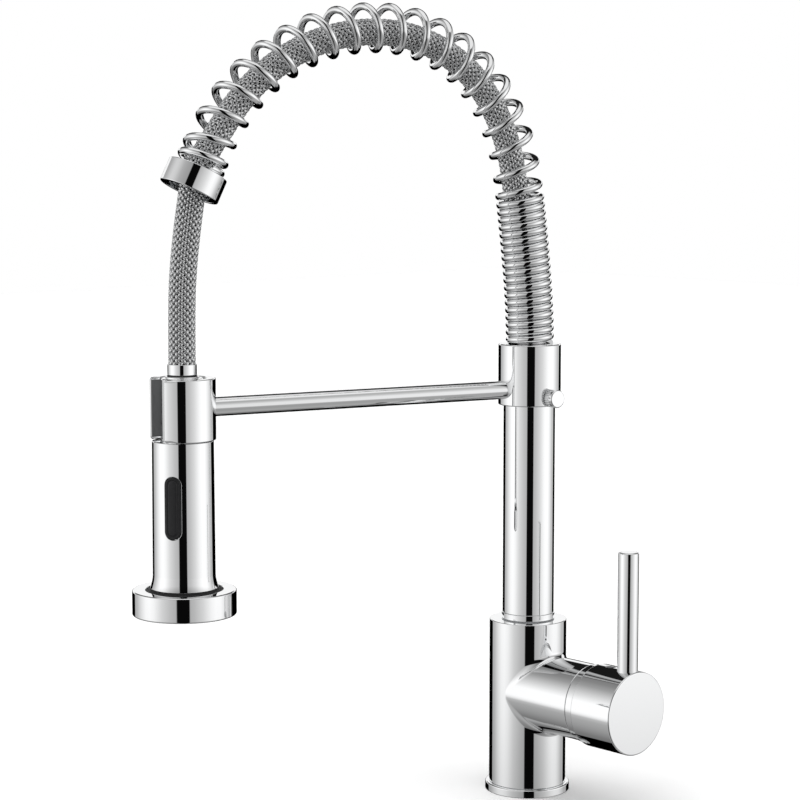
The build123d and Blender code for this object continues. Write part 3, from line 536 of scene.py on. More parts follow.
# %% [markdown]
# ## Body with its side branch
# The body is a cast barrel with a branch of nearly its own width. Where they meet, the casting
# has a hollow. It is the path of a ball that rolls along both walls, and its two points of
# contact are the edges of the blend. The ball is larger at the sides, where the two walls are
# nearly flush, and small above and below, where the edge is crisp.

# %% Body
BODY_R = deep("faucet_body")
BODY_TOP = heights("faucet_body")[1]
BRANCH_R = BODY_R - 0.25
BASE_BORE_R = 17.45
SEAT_R, SEAT_Z = 14.5, 84.0  # the bore that the column's foot stands in
WALL_LOW, WALL_HIGH = 30.8, 90.8  # the stretch of the barrel's wall that the branch leaves from
BRANCH_END = box_mm("faucet_body")[1].x
side = Lathe(Vector((0, 0, BRANCH_Z)), X, Y)


BLEND_R, BLEND_SWELL = 2.6, 6.5


def ball_r(turn):
    return BLEND_R + BLEND_SWELL * math.cos(turn) ** 2


def ball(turn):
    """Centre of the rolling ball, in the branch's own coordinates."""
    reach = BRANCH_R + ball_r(turn)
    return Vector((
        math.sqrt((BODY_R + ball_r(turn)) ** 2 - (reach * math.cos(turn)) ** 2),
        reach * math.cos(turn), reach * math.sin(turn)))


def blend_rim(turn):
    centre = ball(turn)
    return math.atan2(centre.y, centre.x), BRANCH_Z + centre.z


def blend_arc(turn):
    centre = ball(turn)
    to_body = Vector((-centre.x, -centre.y, 0)).normalized()
    to_branch = Vector((0, -math.cos(turn), -math.sin(turn)))
    spots = []
    for k in range(9):
        spoke = to_body.slerp(to_branch, k / 8)
        spots.append((Vector((0, 0, BRANCH_Z)) + centre + spoke * ball_r(turn), -spoke))
    spots.append(side.spot(turn, BRANCH_R, BRANCH_END - 0.6))
    end = outline([(BRANCH_R, 30, 0), (BRANCH_R, BRANCH_END - 0.1, 0.45), (17.6, BRANCH_END, 0.3),
                   (17.6, 9, 0.3), (0, 9, 0)])
    return spots + [side.spot(turn, *p) for p in end[1:]]


body = Skin()
around = pierced(body, upright, BODY_R, 0, math.radians(100), WALL_LOW, WALL_HIGH, blend_rim,
                 blend_arc, columns=56, rows=28, steps=12, rest=56)
upright.turn(body, outline([(BODY_R, WALL_HIGH, 0), (BODY_R, BODY_TOP, 0.5), (SEAT_R, BODY_TOP, 0.4),
                            (SEAT_R, SEAT_Z, 0.2), (0, SEAT_Z, 0)]), around)
upright.turn(body, outline([(BASE_BORE_R, 0, 0), (BASE_BORE_R, base_top, 0.1),
                            (BODY_R, base_top, 0.6), (BODY_R, WALL_LOW, 0)]), around)
INLETS = [(3.0, way * 9.0, 4.5, 15.0) for way in (1, -1)]  # x, y, radius, depth
STUDS = [(way * 12.5, 0.0, 3.0, 14.0) for way in (1, -1)]
loops = [[upright.spot(a, BASE_BORE_R, 0)[0] for a in around[:-1]]]
for x, y, radius, depth in INLETS + STUDS:
    bore = Lathe(Vector((x, y, 0)))
    wall = [(radius, 0, -1, 0), (radius, depth, -1, 0)]
    bore.turn(body, wall, ring_angles(40))
    bore.turn(body, [(radius, depth - 0.001, 0, -1), (0, depth - 0.001, 0, -1)], ring_angles(40))
    loops.append([bore.spot(a, radius, 0)[0] for a in ring_angles(40)[:-1]])
body.cap(loops, -Z)
body.piece("body_skin", CHROME, "faucet_base", "faucet_body")

# %% [markdown]
# ## Bonnet and handle
# Behind the handle a domed bonnet screws over the cartridge. Its dome is a ball about the point
# that the handle tips on, so the hollow handle rolls over it with an even gap. The lever is a
# plain rod, and a slanted hole on top lets a key reach the set screw.

# %% Bonnet and handle
PIVOT_X = 40.0
RING_R, RING_START, RING_END = deep("bonnet_ring"), 51.7, 56.5
DOME_R = math.hypot(RING_R, RING_END - PIVOT_X)
HANDLE_R = deep("handle")
HANDLE_START, HANDLE_END = box_mm("handle")[0].x, box_mm("handle")[1].x
dome_foot = math.degrees(math.asin((RING_END - PIVOT_X) / DOME_R))
dome_top = math.degrees(math.acos(15.5 / DOME_R))
turned("bonnet_skin", CHROME, "faucet_base", ["bonnet_ring"], side,
       [(15.5, 50, 0), (15.5, 44.3, 0.3), (17.5, 44.3, 0.3), (17.5, RING_START, 0.1),
        (RING_R, RING_START + 0.1, 0.4), (RING_R, RING_END, 0.4)]
       + bow(0, PIVOT_X, DOME_R, dome_foot + 2.2, dome_top, 14) + [(15.5, 50, 0)])

SCREW_R = 2.6
SCREW_X = 66.5
SCREW_FLOOR, SCREW_HEAD = 20.7, 13.8  # how far down the hole its floor and its screw are
screw_top = Vector((SCREW_X, 0, BRANCH_Z + HANDLE_R))
screw_way = Vector((11.0, 0, -19.4)).normalized()
screw_side = screw_way.cross(Y)


def bore_spot(turn, radius):
    """Where a line down the slanted hole's wall meets the handle's own round wall."""
    start = screw_top + (Y * math.cos(turn) - screw_side * math.sin(turn)) * -radius
    offset = start - Vector((0, 0, BRANCH_Z))
    a = screw_way.y ** 2 + screw_way.z ** 2
    b = offset.y * screw_way.y + offset.z * screw_way.z
    c = offset.y ** 2 + offset.z ** 2 - HANDLE_R ** 2
    return start + screw_way * ((-b - math.sqrt(b * b - a * c)) / a)


def screw_rim(turn):
    spot = bore_spot(turn, SCREW_R + 0.25) - Vector((0, 0, BRANCH_Z))
    return math.atan2(spot.z, spot.y) - math.pi / 2, spot.x


def screw_wall(turn):
    edge = bore_spot(turn, SCREW_R + 0.25)
    wall = bore_spot(turn, SCREW_R)
    inwards = (Y * math.cos(turn) - screw_side * math.sin(turn))
    out = Vector((0, edge.y, edge.z - BRANCH_Z)).normalized()
    spots = []
    for share in (0.3, 0.6, 1.0):
        normal = out.lerp(inwards, share)
        drop = wall + screw_way * 0.3 * share - edge
        spots.append((edge + drop * share, normal))
    floor_centre = screw_top + screw_way * SCREW_FLOOR
    spots.append((floor_centre - inwards * SCREW_R, inwards))
    spots.append((floor_centre + screw_way * 0.001 - inwards * SCREW_R, -screw_way))
    spots.append((floor_centre + screw_way * 0.001, -screw_way))
    return spots


# Painted shade: a dark sleeve inside the set screw's hole, standing in for the shadow down the hole.
bore = Skin()  # a thin dark sleeve in the hole, from its brink to the screw's head
rows = []
for turn in ring_angles(48):
    inwards = Y * math.cos(turn) - screw_side * math.sin(turn)
    foot = screw_top + screw_way * SCREW_HEAD - inwards * SCREW_R
    brink = bore_spot(turn, SCREW_R) + screw_way * 0.35
    rows.append([(foot, -inwards), (brink, -inwards - screw_way),
                 (brink + inwards * 0.12, inwards - screw_way), (foot + inwards * 0.12, inwards),
                 (foot, -inwards)])
bore.grid(rows)
bore.piece("screw_bore", DARK, "handle")

handle = Skin()
MOUTH_X = HANDLE_START + 0.2
mouth = MOUTH_X - PIVOT_X
hollow = DOME_R + 0.3
patch_low, patch_high = SCREW_X - 5.5, SCREW_X + 5.5
around = pierced(handle, side, HANDLE_R, math.pi / 2, math.radians(28), patch_low, patch_high,
                 screw_rim, screw_wall, columns=20, rows=12, steps=6, rest=96)
side.turn(handle, outline(
    bow(0, PIVOT_X, hollow, 90, math.degrees(math.asin(mouth / hollow)), 14)
    + [(HANDLE_R, MOUTH_X, 0.8), (HANDLE_R, patch_low, 0)]), around)
side.turn(handle, outline(
    [(HANDLE_R, patch_high, 0), (HANDLE_R, HANDLE_END, 0.8), (0, HANDLE_END, 0)]), around)
handle.piece("handle_skin", CHROME, "handle", "handle")

lever_low, lever_top = heights("lever")
lever_at = middle("lever")
LEVER_R = across("lever")
turned("lever_skin", CHROME, "handle", ["lever"], Lathe(Vector((lever_at.x, 0, 0))),
       [(0, lever_low, 0), (LEVER_R, lever_low, 0.3), (LEVER_R, lever_top, 1.1), (0, lever_top, 0)],
       64)

# %% [markdown]
# ## Docking arm
# A thin rod joins the collar to an open clip that holds the spray's neck. The clip is a slotted
# sleeve, so it is drawn as a plan with rounded corners, raised to its height, with its top and
# bottom edges rolled over. The roll is larger on the two prongs, which are polished round.

# %% Arm rod and dock clip
dock_low, dock_top = heights("dock_clip")
DOCK_R, DOCK_BORE_R, SLOT = box_mm("dock_clip")[1].x - SPRAY_AXIS.x, 13.1, 19.0
ARM_Z = middle("arm_rod").z
rod_lathe = Lathe(Z * ARM_Z, ARM, Z)
ROD_R = tall("arm_rod")
turned("arm_rod_skin", CHROME, "docking_arm", ["arm_rod"], rod_lathe,
       [(0, 16.6, 0), (ROD_R, 16.6, 0.2), (ROD_R, REACH - DOCK_R + 2, 0.2),
        (0, REACH - DOCK_R + 2, 0)], 72)


def clip_plan():
    """The clip's plan, about the spray axis, x away from the column."""
    outer = math.degrees(math.asin(SLOT / 2 / DOCK_R))
    inner = math.degrees(math.asin(SLOT / 2 / DOCK_BORE_R))
    corners = bow(0, 0, DOCK_R, 180, 360 - outer - 4, 60)
    corners += [(DOCK_R * math.cos(math.radians(outer)), -SLOT / 2, 0.8)]
    corners += [(DOCK_BORE_R * math.cos(math.radians(inner)), -SLOT / 2, 0.5)]
    corners += bow(0, 0, DOCK_BORE_R, -inner - 3, -360 + inner + 3, 100)
    corners += [(DOCK_BORE_R * math.cos(math.radians(inner)), SLOT / 2, 0.5)]
    corners += [(DOCK_R * math.cos(math.radians(outer)), SLOT / 2, 0.8)]
    corners += bow(0, 0, DOCK_R, outer + 4, 177, 60)
    return outline(corners, closed=True)


def clip_roll(x, y):
    """Edge radius at a place on the plan: 0.6, and larger near the prongs' ends."""
    nearness = min(max((x - 8.5) / 4.5, 0.0), 1.0)
    return 0.6 + 1.0 * nearness * nearness * (3 - 2 * nearness)


def raised(name, material, plan, low, top, roll_at, *nodes):
    """A plan raised between two heights, with its top and bottom edges rolled over."""
    skin, rows = Skin(), []
    for level in range(14):
        turn = math.radians(90 * (1 - level / 6 if level < 7 else (level - 7) / 6))
        rows.append([])
        for out, along, normal_out, normal_along in plan + plan[:1]:
            roll = roll_at(out, along)
            inset = roll * (1 - math.cos(turn))
            lift = roll * (1 - math.sin(turn))
            height = top - lift if level >= 7 else low + lift
            flat = ARM * (REACH + out - normal_out * inset) - SIDE * (along - normal_along * inset)
            normal = (ARM * normal_out - SIDE * normal_along) * math.cos(turn)
            normal += Z * math.sin(turn) * (1 if level >= 7 else -1)
            rows[-1].append((flat + Z * height, normal))
    skin.grid(rows)
    skin.cap([[place for place, _ in rows[0][:-1]]], -Z)
    skin.cap([[place for place, _ in rows[-1][:-1]]], Z)
    return skin.piece(name, material, "docking_arm", *nodes)


def lining_plan(thick=0.45):
    """A plastic lining that covers the bore and turns out over both cut faces."""
    tip = math.sqrt(DOCK_R ** 2 - SLOT ** 2 / 4) - 1.3
    half, inner_r, inner_half = SLOT / 2, DOCK_BORE_R - thick, SLOT / 2 - thick
    outer = math.degrees(math.asin(half / DOCK_BORE_R))
    inner = math.degrees(math.asin(inner_half / inner_r))
    corners = [(tip, -inner_half, 0.1), (inner_r * math.cos(math.radians(inner)), -inner_half, 0.1)]
    corners += bow(0, 0, inner_r, -inner - 3, -360 + inner + 3, 100)
    corners += [(inner_r * math.cos(math.radians(inner)), inner_half, 0.1), (tip, inner_half, 0.1)]
    corners += [(tip, half, 0.1), (DOCK_BORE_R * math.cos(math.radians(outer)), half, 0.1)]
    corners += bow(0, 0, DOCK_BORE_R, outer + 3, 360 - outer - 3, 100)
    corners += [(DOCK_BORE_R * math.cos(math.radians(outer)), -half, 0.1), (tip, -half, 0.1)]
    return outline(corners[::-1], closed=True)


raised("dock_clip_skin", CHROME, clip_plan(), dock_low, dock_top, clip_roll, "dock_clip")
lining = raised("dock_lining", DARK, lining_plan(), dock_low + 1.3, dock_top - 1.3,
                lambda x, y: 0.1)

# %% [markdown]
# ## Spray head
# A neck in the clip, a long barrel with a button, and a flare that ends in a wide face ring. The
# button sits in a slot with rounded ends. It is a soft black cap that follows the barrel's round,
# with a rim and a raised pad, so its rows are places measured off the barrel's own surface.

# %% Spray head
spray = Lathe(SPRAY_AXIS)
neck_low, neck_top = heights("spray_neck")
NECK_R = across("spray_neck")
LIP_TOP = neck_top + 1.1
turned("spray_neck_skin", CHROME, "spray_head", ["spray_neck"], spray,
       [(0, neck_low, 0), (NECK_R, neck_low, 0.2), (NECK_R, neck_top, 0.8), (9.4, neck_top, 0.2),
        (9.4, LIP_TOP, 0.4), (6.3, LIP_TOP, 0.2), (6.3, neck_top - 8, 0.3), (0, neck_top - 8, 0)])

FLARE_LOW, SPRAY_TOP = heights("spray_body")
SPRAY_R, SPRAY_LOW_R, FLARE_TOP, FLARE_R = 16.9, 17.25, 150.0, across("spray_body")
LEAN = (SPRAY_LOW_R - SPRAY_R) / (SPRAY_TOP - FLARE_TOP)
flare_bow = ((FLARE_TOP - FLARE_LOW) ** 2 + (FLARE_R - SPRAY_LOW_R) ** 2) / 2 / (FLARE_R - SPRAY_LOW_R)
SKIRT_Z = FLARE_LOW + 1.9  # the flare's edge, which stands off the ring on a black ring that is painted shade for the gap
flare_drop = math.asin((FLARE_TOP - SKIRT_Z) / flare_bow)
flare_end = 180 + math.degrees(flare_drop)
SKIRT_R = SPRAY_LOW_R + flare_bow * (1 - math.cos(flare_drop))
BUTTON = math.radians(-57.7)
BUTTON_Z = middle("spray_button").z
BUTTON_HALF_W, BUTTON_HALF_H = 4.4, 17.0
button_out = X * math.cos(BUTTON) + Y * math.sin(BUTTON)
button_side = Z.cross(button_out)


def pill(turn, grow):
    """A point on a slot outline grown by an amount, as (sideways, height off its middle)."""
    half_w, straight = BUTTON_HALF_W + grow, BUTTON_HALF_H - BUTTON_HALF_W
    ray = Vector((math.cos(turn) * 9.5, math.sin(turn) * 21)).normalized()
    reach = half_w / abs(ray.x) if abs(ray.x) > 1e-6 else 1e9
    if reach * abs(ray.y) > straight:
        lift = straight * abs(ray.y)
        reach = lift + math.sqrt(max(lift ** 2 - straight ** 2 + half_w ** 2, 0))
    return ray.x * reach, ray.y * reach


def barrel_r(height):
    """The barrel's radius at a height above the button's middle."""
    return SPRAY_R + LEAN * (SPRAY_TOP - BUTTON_Z - height)


def on_barrel(sideways, height, above=0.0):
    depth = math.sqrt((barrel_r(height) + above) ** 2 - sideways ** 2)
    return SPRAY_AXIS + button_out * depth + button_side * sideways + Z * (BUTTON_Z + height)


def slot_rim(turn):
    sideways, height = pill(turn, 0.65)
    return math.asin(sideways / barrel_r(height)), BUTTON_Z + height


def slot_wall(turn):
    spots = []
    edge_side, edge_height = pill(turn, 0.65)
    wall_side, wall_height = pill(turn, 0.3)
    surface = on_barrel(edge_side, edge_height)
    out = (surface - SPRAY_AXIS - Z * surface.z).normalized()
    if abs(wall_height) > BUTTON_HALF_H - BUTTON_HALF_W:
        bend = wall_height - math.copysign(BUTTON_HALF_H - BUTTON_HALF_W, wall_height)
        inwards = -(button_side * wall_side + Z * bend).normalized()
    else:
        inwards = -button_side * math.copysign(1, wall_side)
    for share in (0.3, 0.6, 0.85, 1.0):
        swing = share * math.pi / 2
        place = surface + inwards * 0.35 * math.sin(swing) - button_out * 0.35 * (1 - math.cos(swing))
        spots.append((place, out * math.cos(swing) + inwards * math.sin(swing)))
    deep = SPRAY_AXIS + button_side * wall_side + Z * (BUTTON_Z + wall_height) + button_out * 10.5
    spots.append((deep, inwards))
    spots.append((deep - button_out * 0.001, button_out))
    spots.append((SPRAY_AXIS + Z * BUTTON_Z + button_out * 10.499, button_out))
    return spots


barrel = Skin()
patch_low, patch_high = BUTTON_Z - 24, BUTTON_Z + 24
around = pierced(barrel, spray, barrel_r(0), BUTTON, math.radians(44), patch_low, patch_high,
                 slot_rim, slot_wall, columns=28, rows=44, steps=6, rest=76, lean=LEAN)
spray.turn(barrel, outline(
    [(0, SKIRT_Z, 0), (SKIRT_R, SKIRT_Z, 0.25)]
    + bow(SPRAY_LOW_R + flare_bow, FLARE_TOP, flare_bow, flare_end - 2, 180, 16)
    + [(barrel_r(-24), patch_low, 0)]), around)
spray.turn(barrel, outline(
    [(barrel_r(24), patch_high, 0), (SPRAY_R, SPRAY_TOP, 0.6), (0, SPRAY_TOP, 0)]), around)
barrel.piece("spray_body_skin", CHROME, "spray_head", "spray_body")

BUTTON_PROFILE = (
    (0.0, -4.5), (0.0, -0.3), (0.06, 0.0), (0.25, 0.22), (0.5, 0.3), (0.9, 0.3), (1.15, 0.22),
    (1.3, 0.05), (1.5, 0.0), (1.75, 0.06), (1.95, 0.3), (2.15, 0.5), (2.5, 0.6), (3.1, 0.62),
    (3.8, 0.62), (4.2, 0.62), (4.39, 0.62),
)  # how far in from the button's edge, and how far above the barrel
button_rows = []
for inset, above in BUTTON_PROFILE:
    row = [on_barrel(*pill(2 * math.pi * k / 96, -inset), above) for k in range(97)]
    button_rows.append(row)
button = Skin()
button.sheet(button_rows, button_out)
button.cap([button_rows[0][:-1]], -button_out)
button.piece("button_cap", BLACK, "spray_button", "spray_button")

ring_low, ring_top = heights("spray_face_ring")
FACE_R = across("spray_face_ring")
RECESS_R, RECESS_Z = 21.5, FLARE_LOW - 0.1
turned("face_ring_skin", CHROME, "spray_head", ["spray_face_ring"], spray,
       [(14.2, 139, 0), (14.2, 138.3, 0.1), (26.9, 138.3, 0.2), (26.9, ring_low, 0.3),
        (FACE_R, ring_low, 0.9), (FACE_R, ring_top, 0.9), (RECESS_R, ring_top, 0.3),
        (RECESS_R, RECESS_Z, 0.1), (14.2, RECESS_Z, 0.1), (14.2, 139, 0)], 160)
# Painted shade: a black ring under the flare's edge. Its black stands in for the shadow in the gap above
# the face ring.
dark_ring = turned("flare_seal", RUBBER_AND_GAP_SHADE, "spray_head", [], spray,
              [(14.3, RECESS_Z + 0.3, 0), (14.3, RECESS_Z, 0.1), (RECESS_R - 0.02, RECESS_Z, 0.1),
               (RECESS_R - 0.02, RECESS_Z + 0.6, 0.2), (SKIRT_R - 0.35, RECESS_Z + 0.6, 0.1),
               (SKIRT_R - 0.35, SKIRT_Z, 0.1), (14.3, SKIRT_Z, 0.1), (14.3, RECESS_Z + 0.3, 0)], 128)

ferrule_low, ferrule_top = heights("hose_ferrule")
FERRULE_R = across("hose_ferrule")
turned("ferrule_skin", CHROME, "hose_end", ["hose_ferrule"], spray,
       sleeve(5.0, FERRULE_R, ferrule_low, ferrule_top, 0.4), 96)
dark_ring = turned("neck_seal", RUBBER_AND_GAP_SHADE, "hose_end", [], spray,
              sleeve(6.1, FERRULE_R + 0.2, LIP_TOP, ferrule_low, 0.2), 96)

# %% [markdown]
# ## Thumb screw
# A small screw clamps the collar to the column. Its head is knurled next to the collar, so that
# fingers can turn it, and ends in a plain disc. The disc and the core are turned. The knurl
# repeats, so Geometry Nodes place one ridge round a circle.

# %% Formulas inside node trees
class Flow:
    """A socket that adds and multiplies, so that a node tree reads like a formula."""

    def __init__(self, tree, socket):
        self.tree, self.socket = tree, socket

    def math(self, operation, other=0.0, third=0.0):
        values = [v.socket if isinstance(v, Flow) else v for v in (self, other, third)]
        return Flow(self.tree, calc(self.tree, operation, *values))

    def __add__(self, other):
        return self.math("ADD", other)

    def __sub__(self, other):
        return self.math("SUBTRACT", other)

    def __mul__(self, other):
        return self.math("MULTIPLY", other)

    def __truediv__(self, other):
        return self.math("DIVIDE", other)


def vector_math(tree, operation, a, b=(0, 0, 0), scale=None):
    sockets = {"i0": a, "i1": b}
    if scale is not None:
        sockets["Scale"] = scale
    return put(tree, "ShaderNodeVectorMath", {"operation": operation}, **sockets).outputs[0]


# %% Node group with named inputs
class Tree:
    def __init__(self, name, **inputs):
        """inputs: a name and its value. An object is a path or shape, a number is a size."""
        self.tree = bpy.data.node_groups.new(name, "GeometryNodeTree")
        face = self.tree.interface
        face.new_socket("Geometry", in_out="INPUT", socket_type="NodeSocketGeometry")
        face.new_socket("Geometry", in_out="OUTPUT", socket_type="NodeSocketGeometry")
        kinds = {float: "NodeSocketFloat", int: "NodeSocketInt", Vector: "NodeSocketVector"}
        self.values = {}
        for key, value in inputs.items():
            kind = kinds.get(type(value), "NodeSocketObject")
            if isinstance(value, bpy.types.Material):
                kind = "NodeSocketMaterial"
            made = face.new_socket(key.replace("_", " "), in_out="INPUT", socket_type=kind)
            self.values[made.identifier] = value
        self.start = self.tree.nodes.new("NodeGroupInput")

    def __getitem__(self, key):
        return Flow(self.tree, self.start.outputs[key])

    def add(self, kind, settings=None, **sockets):
        plain = {k: v.socket if isinstance(v, Flow) else v for k, v in sockets.items()}
        return put(self.tree, kind, settings, **plain)

    def grow(self, name, mesh, last):
        """Ends the tree, runs it on a mesh and returns the result as a plain object."""
        whole = self.add("GeometryNodeRealizeInstances", i0=last)
        dressed = self.add("GeometryNodeSetMaterial", Geometry=whole.outputs[0], Material=self["Finish"])
        end = self.tree.nodes.new("NodeGroupOutput")
        self.tree.links.new(dressed.outputs[0], end.inputs[0])
        carrier = bpy.data.objects.new(name + "_carrier", mesh)
        bpy.context.scene.collection.objects.link(carrier)
        modifier = carrier.modifiers.new("grow", "NODES")
        modifier.node_group = self.tree
        for identifier, value in self.values.items():
            modifier[identifier] = value
        depsgraph = bpy.context.evaluated_depsgraph_get()
        grown = bpy.data.meshes.new_from_object(carrier.evaluated_get(depsgraph), depsgraph=depsgraph)
        grown.name = name
        made = bpy.data.objects.new(name, grown)
        bpy.context.scene.collection.objects.link(made)
        carrier.modifiers.clear()
        bpy.data.objects.remove(carrier)
        print(name, len(grown.vertices), "vertices", len(grown.polygons), "faces")
        return made


# %% Thumb screw
THUMB = math.radians(-6.0)
thumb_out = X * math.cos(THUMB) + Y * math.sin(THUMB)
THUMB_R = tall("thumb_screw")
thumb = Lathe(Z * middle("thumb_screw").z, thumb_out, Z)
turned("thumb_screw_skin", CHROME, "thumb_screw", ["thumb_screw"], thumb,
       [(0, 15.5, 0), (2.5, 15.5, 0.2), (2.5, 18.8, 0.1), (THUMB_R - 0.7, 18.8, 0.3),
        (THUMB_R - 0.7, 23.0, 0.1), (THUMB_R, 23.0, 0.4), (THUMB_R, 25.8, 0.8), (0, 25.8, 0)], 64)

ridge = Skin()
ridge_lathe = Lathe(Vector(), X, Z)
ridge_outline = [(0, 18.9, 0), (0.42, 18.9, 0.25), (0.42, 23.1, 0.1), (0, 23.1, 0)]
ridge_lathe.turn(ridge, outline(ridge_outline, 3), ring_angles(10))
ridge_mesh = bpy.data.meshes.new("knurl_ridge")
ridge_mesh.from_pydata(ridge.points, [], ridge.faces)
ridge_mesh.shade_smooth()
knurl = Tree("knurl", Ridges=26, Radius=(THUMB_R - 0.55) * MM, Finish=CHROME)
circle = knurl.add("GeometryNodeMeshCircle", Vertices=knurl["Ridges"], Radius=knurl["Radius"])
stood = knurl.add("GeometryNodeTransform", Geometry=circle.outputs[0], Rotation=(0, math.pi / 2, 0))
ridges = knurl.add("GeometryNodeInstanceOnPoints", Points=stood.outputs[0], Instance=knurl["Geometry"])
turned_to = knurl.add("GeometryNodeTransform", Geometry=ridges.outputs[0],
                      Translation=Z * middle("thumb_screw").z * MM, Rotation=(0, 0, THUMB))
knurl_piece = knurl.grow("thumb_knurl", ridge_mesh, turned_to.outputs[0])
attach(knurl_piece, "thumb_screw")

# %% [markdown]
# ## Spring and hose path
# The arch is a chain of arcs in the arm's upright plane. Nothing about it is free: the spring's
# steel holds it. So the path is walked arc by arc and kept as a curve that the trees sample.

# %% Arch path
ARCH = ((9.7, 605), (35, 99), (41.3, 88.5), (68.5, 113.7))  # turn in degrees, radius
END_RUN = 15.0


def walk_arch(inwards):
    """Places along the arch, moved towards its inner side by a distance that may vary."""
    spot, heading, gone = Vector((0, collar_top)), 0.0, 0.0
    total = sum(math.radians(turn) * radius for turn, radius in ARCH) + END_RUN
    places = []
    for turn, radius in ARCH + ((0, END_RUN),):
        length = math.radians(turn) * radius if turn else END_RUN
        count = round(length / 1.5)
        centre = spot + Vector((math.cos(heading), -math.sin(heading))) * radius
        for k in range(count + (0 if turn else 1)):
            swing = heading + math.radians(turn) * k / count
            here = centre + Vector((-math.cos(swing), math.sin(swing))) * radius
            if not turn:
                here = spot + Vector((math.sin(swing), math.cos(swing))) * length * k / count
            here = here + Vector((math.cos(swing), -math.sin(swing))) * inwards(
                gone + length * k / count, total)
            places.append(ARM * here.x + Z * here.y)
        heading += math.radians(turn)
        gone += length
        spot = centre + Vector((-math.cos(heading), math.sin(heading))) * radius
        if not turn:
            spot = here
    return places, total, heading


def path_object(name, places, smooth=False):
    data = bpy.data.curves.new(name, "CURVE")
    data.dimensions = "3D"
    spline = data.splines.new("NURBS" if smooth else "POLY")
    spline.points.add(len(places) - 1)
    for point, place in zip(spline.points, places):
        point.co = (*(place * MM), 1)
    if smooth:
        spline.order_u = 3
        spline.use_endpoint_u = True
        data.resolution_u = 24
    made = bpy.data.objects.new(name, data)
    bpy.context.scene.collection.objects.link(made)
    return made


def settle(share):
    share = min(max(share, 0.0), 1.0)
    return share * share * (3 - 2 * share)


def coil_lean(gone, total):
    """The stiff closed coil leans a little towards the arm before the arch begins."""
    return 1.3 * settle(gone / 70) * (1 - settle((gone - 110) / 60))


def hose_sag(gone, total):
    """The hose hangs in the coil until it touches its inner side."""
    return coil_lean(gone, total) + 2.3 * settle((gone - 6) / 60) * settle((total - gone - 5) / 25)


arch_places, ARCH_LENGTH, arch_heading = walk_arch(coil_lean)
hose_places, _, _ = walk_arch(hose_sag)
arch_path = path_object("arch_path", arch_places)
hose_path = path_object("hose_path", hose_places)
CAP_TOP = arch_places[-1]
CAP_WAY = ARM * math.sin(arch_heading) + Z * math.cos(arch_heading)
print("arch length", round(ARCH_LENGTH, 1), "cap top", [round(c, 1) for c in CAP_TOP])

# %% A place round a path
def about_path(tree, gone, angle, radius):
    """Where a point is that stands off the tree's path, some way along it."""
    path = tree.add("GeometryNodeObjectInfo", i0=tree["Path"])
    sample = tree.add("GeometryNodeSampleCurve", {"mode": "LENGTH", "use_all_curves": True},
                      Curves=path.outputs["Geometry"], Length=gone)
    tangent = sample.outputs["Tangent"]
    out = vector_math(tree.tree, "CROSS_PRODUCT", tree["Side"].socket, tangent)
    out = vector_math(tree.tree, "NORMALIZE", out)
    beside = vector_math(tree.tree, "CROSS_PRODUCT", tangent, out)
    place = sample.outputs["Position"]
    for way, share in ((out, angle.math("COSINE")), (beside, angle.math("SINE"))):
        offset = vector_math(tree.tree, "SCALE", way, scale=(share * radius).socket)
        place = vector_math(tree.tree, "ADD", place, offset)
    return place


# %% [markdown]
# ## The spring
# Chromed wire, wound close above the collar, where it stands stiff, and wide over the arch. One
# rule makes it all: a point turns about the path while it climbs, and the climb per turn is the
# pitch. Geometry Nodes hold that rule, and a round section follows the line.

# %% Spring
WIRE_R = 2.15
spring = Tree("coil_spring", Path=arch_path, Side=SIDE.copy(), Coil_radius=12.05 * MM,
              Wire_radius=WIRE_R * MM, Close_turns=19.3, Close_pitch=4.47 * MM, Open_turns=19.0,
              Open_pitch=15.1 * MM, Ease=6.0 * MM, End_turns=1.5, Start=0.2 * MM,
              Length=(ARCH_LENGTH - WIRE_R) * MM, Phase=-0.046, Steps_a_turn=44, Finish=WIRE)
turns = spring["Close turns"] + spring["Open turns"] + spring["End turns"]
count = turns * spring["Steps a turn"]
line = spring.add("GeometryNodeMeshLine", {"mode": "OFFSET"}, Count=count)
index = Flow(spring.tree, spring.add("GeometryNodeInputIndex").outputs[0])
wound = index / spring["Steps a turn"]
close_climb = wound.math("MINIMUM", spring["Close turns"]) * spring["Close pitch"]
open_wound = (wound - spring["Close turns"]).math("MAXIMUM", 0.0).math("MINIMUM", spring["Open turns"])
end_wound = (wound - spring["Close turns"] - spring["Open turns"]).math("MAXIMUM", 0.0)
end_pitch = (spring["Length"] - spring["Start"] - spring["Close turns"] * spring["Close pitch"]
             - spring["Open turns"] * spring["Open pitch"] + spring["Ease"]) / spring["End turns"]
eased = open_wound.math("MINIMUM", 1.0) * spring["Ease"]  # the first open turn climbs less
climb = (spring["Start"] + close_climb + open_wound * spring["Open pitch"] - eased
         + end_wound * end_pitch)
angle = (wound + spring["Phase"]) * (2 * math.pi)
place = about_path(spring, climb, angle, spring["Coil radius"])
helix = spring.add("GeometryNodeSetPosition", Geometry=line.outputs[0], Position=place)
wire_line = spring.add("GeometryNodeMeshToCurve", i0=helix.outputs[0])
section = spring.add("GeometryNodeCurvePrimitiveCircle", Resolution=16, Radius=spring["Wire radius"])
wire_mesh = spring.add("GeometryNodeCurveToMesh", Curve=wire_line.outputs[0], i1=section.outputs[0])
wire_mesh.inputs["Fill Caps"].default_value = True
spring_piece = spring.grow("spring_coil", bpy.data.meshes.new("spring_seed"), wire_mesh.outputs[0])
spring_piece.data.shade_smooth()

FLEX_START, FLEX_END = ARM * 5 + Z * 356, ARM * 205 + Z * 371
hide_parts("arch_spring")
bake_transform(spring_piece)

# %% [markdown]
# ## Braided hose
# Stainless braid is a tube of flat bundles, twelve running each way round, each over one and
# under one. A texture of it would slide and smear on the arch. Here one straight bundle is
# copied, bent round the path and lifted where it crosses over, all by formula. Each
# hand of the braid is a piece of its own, so that neither is too heavy.

# %% One bundle
HOSE_R = 7.5


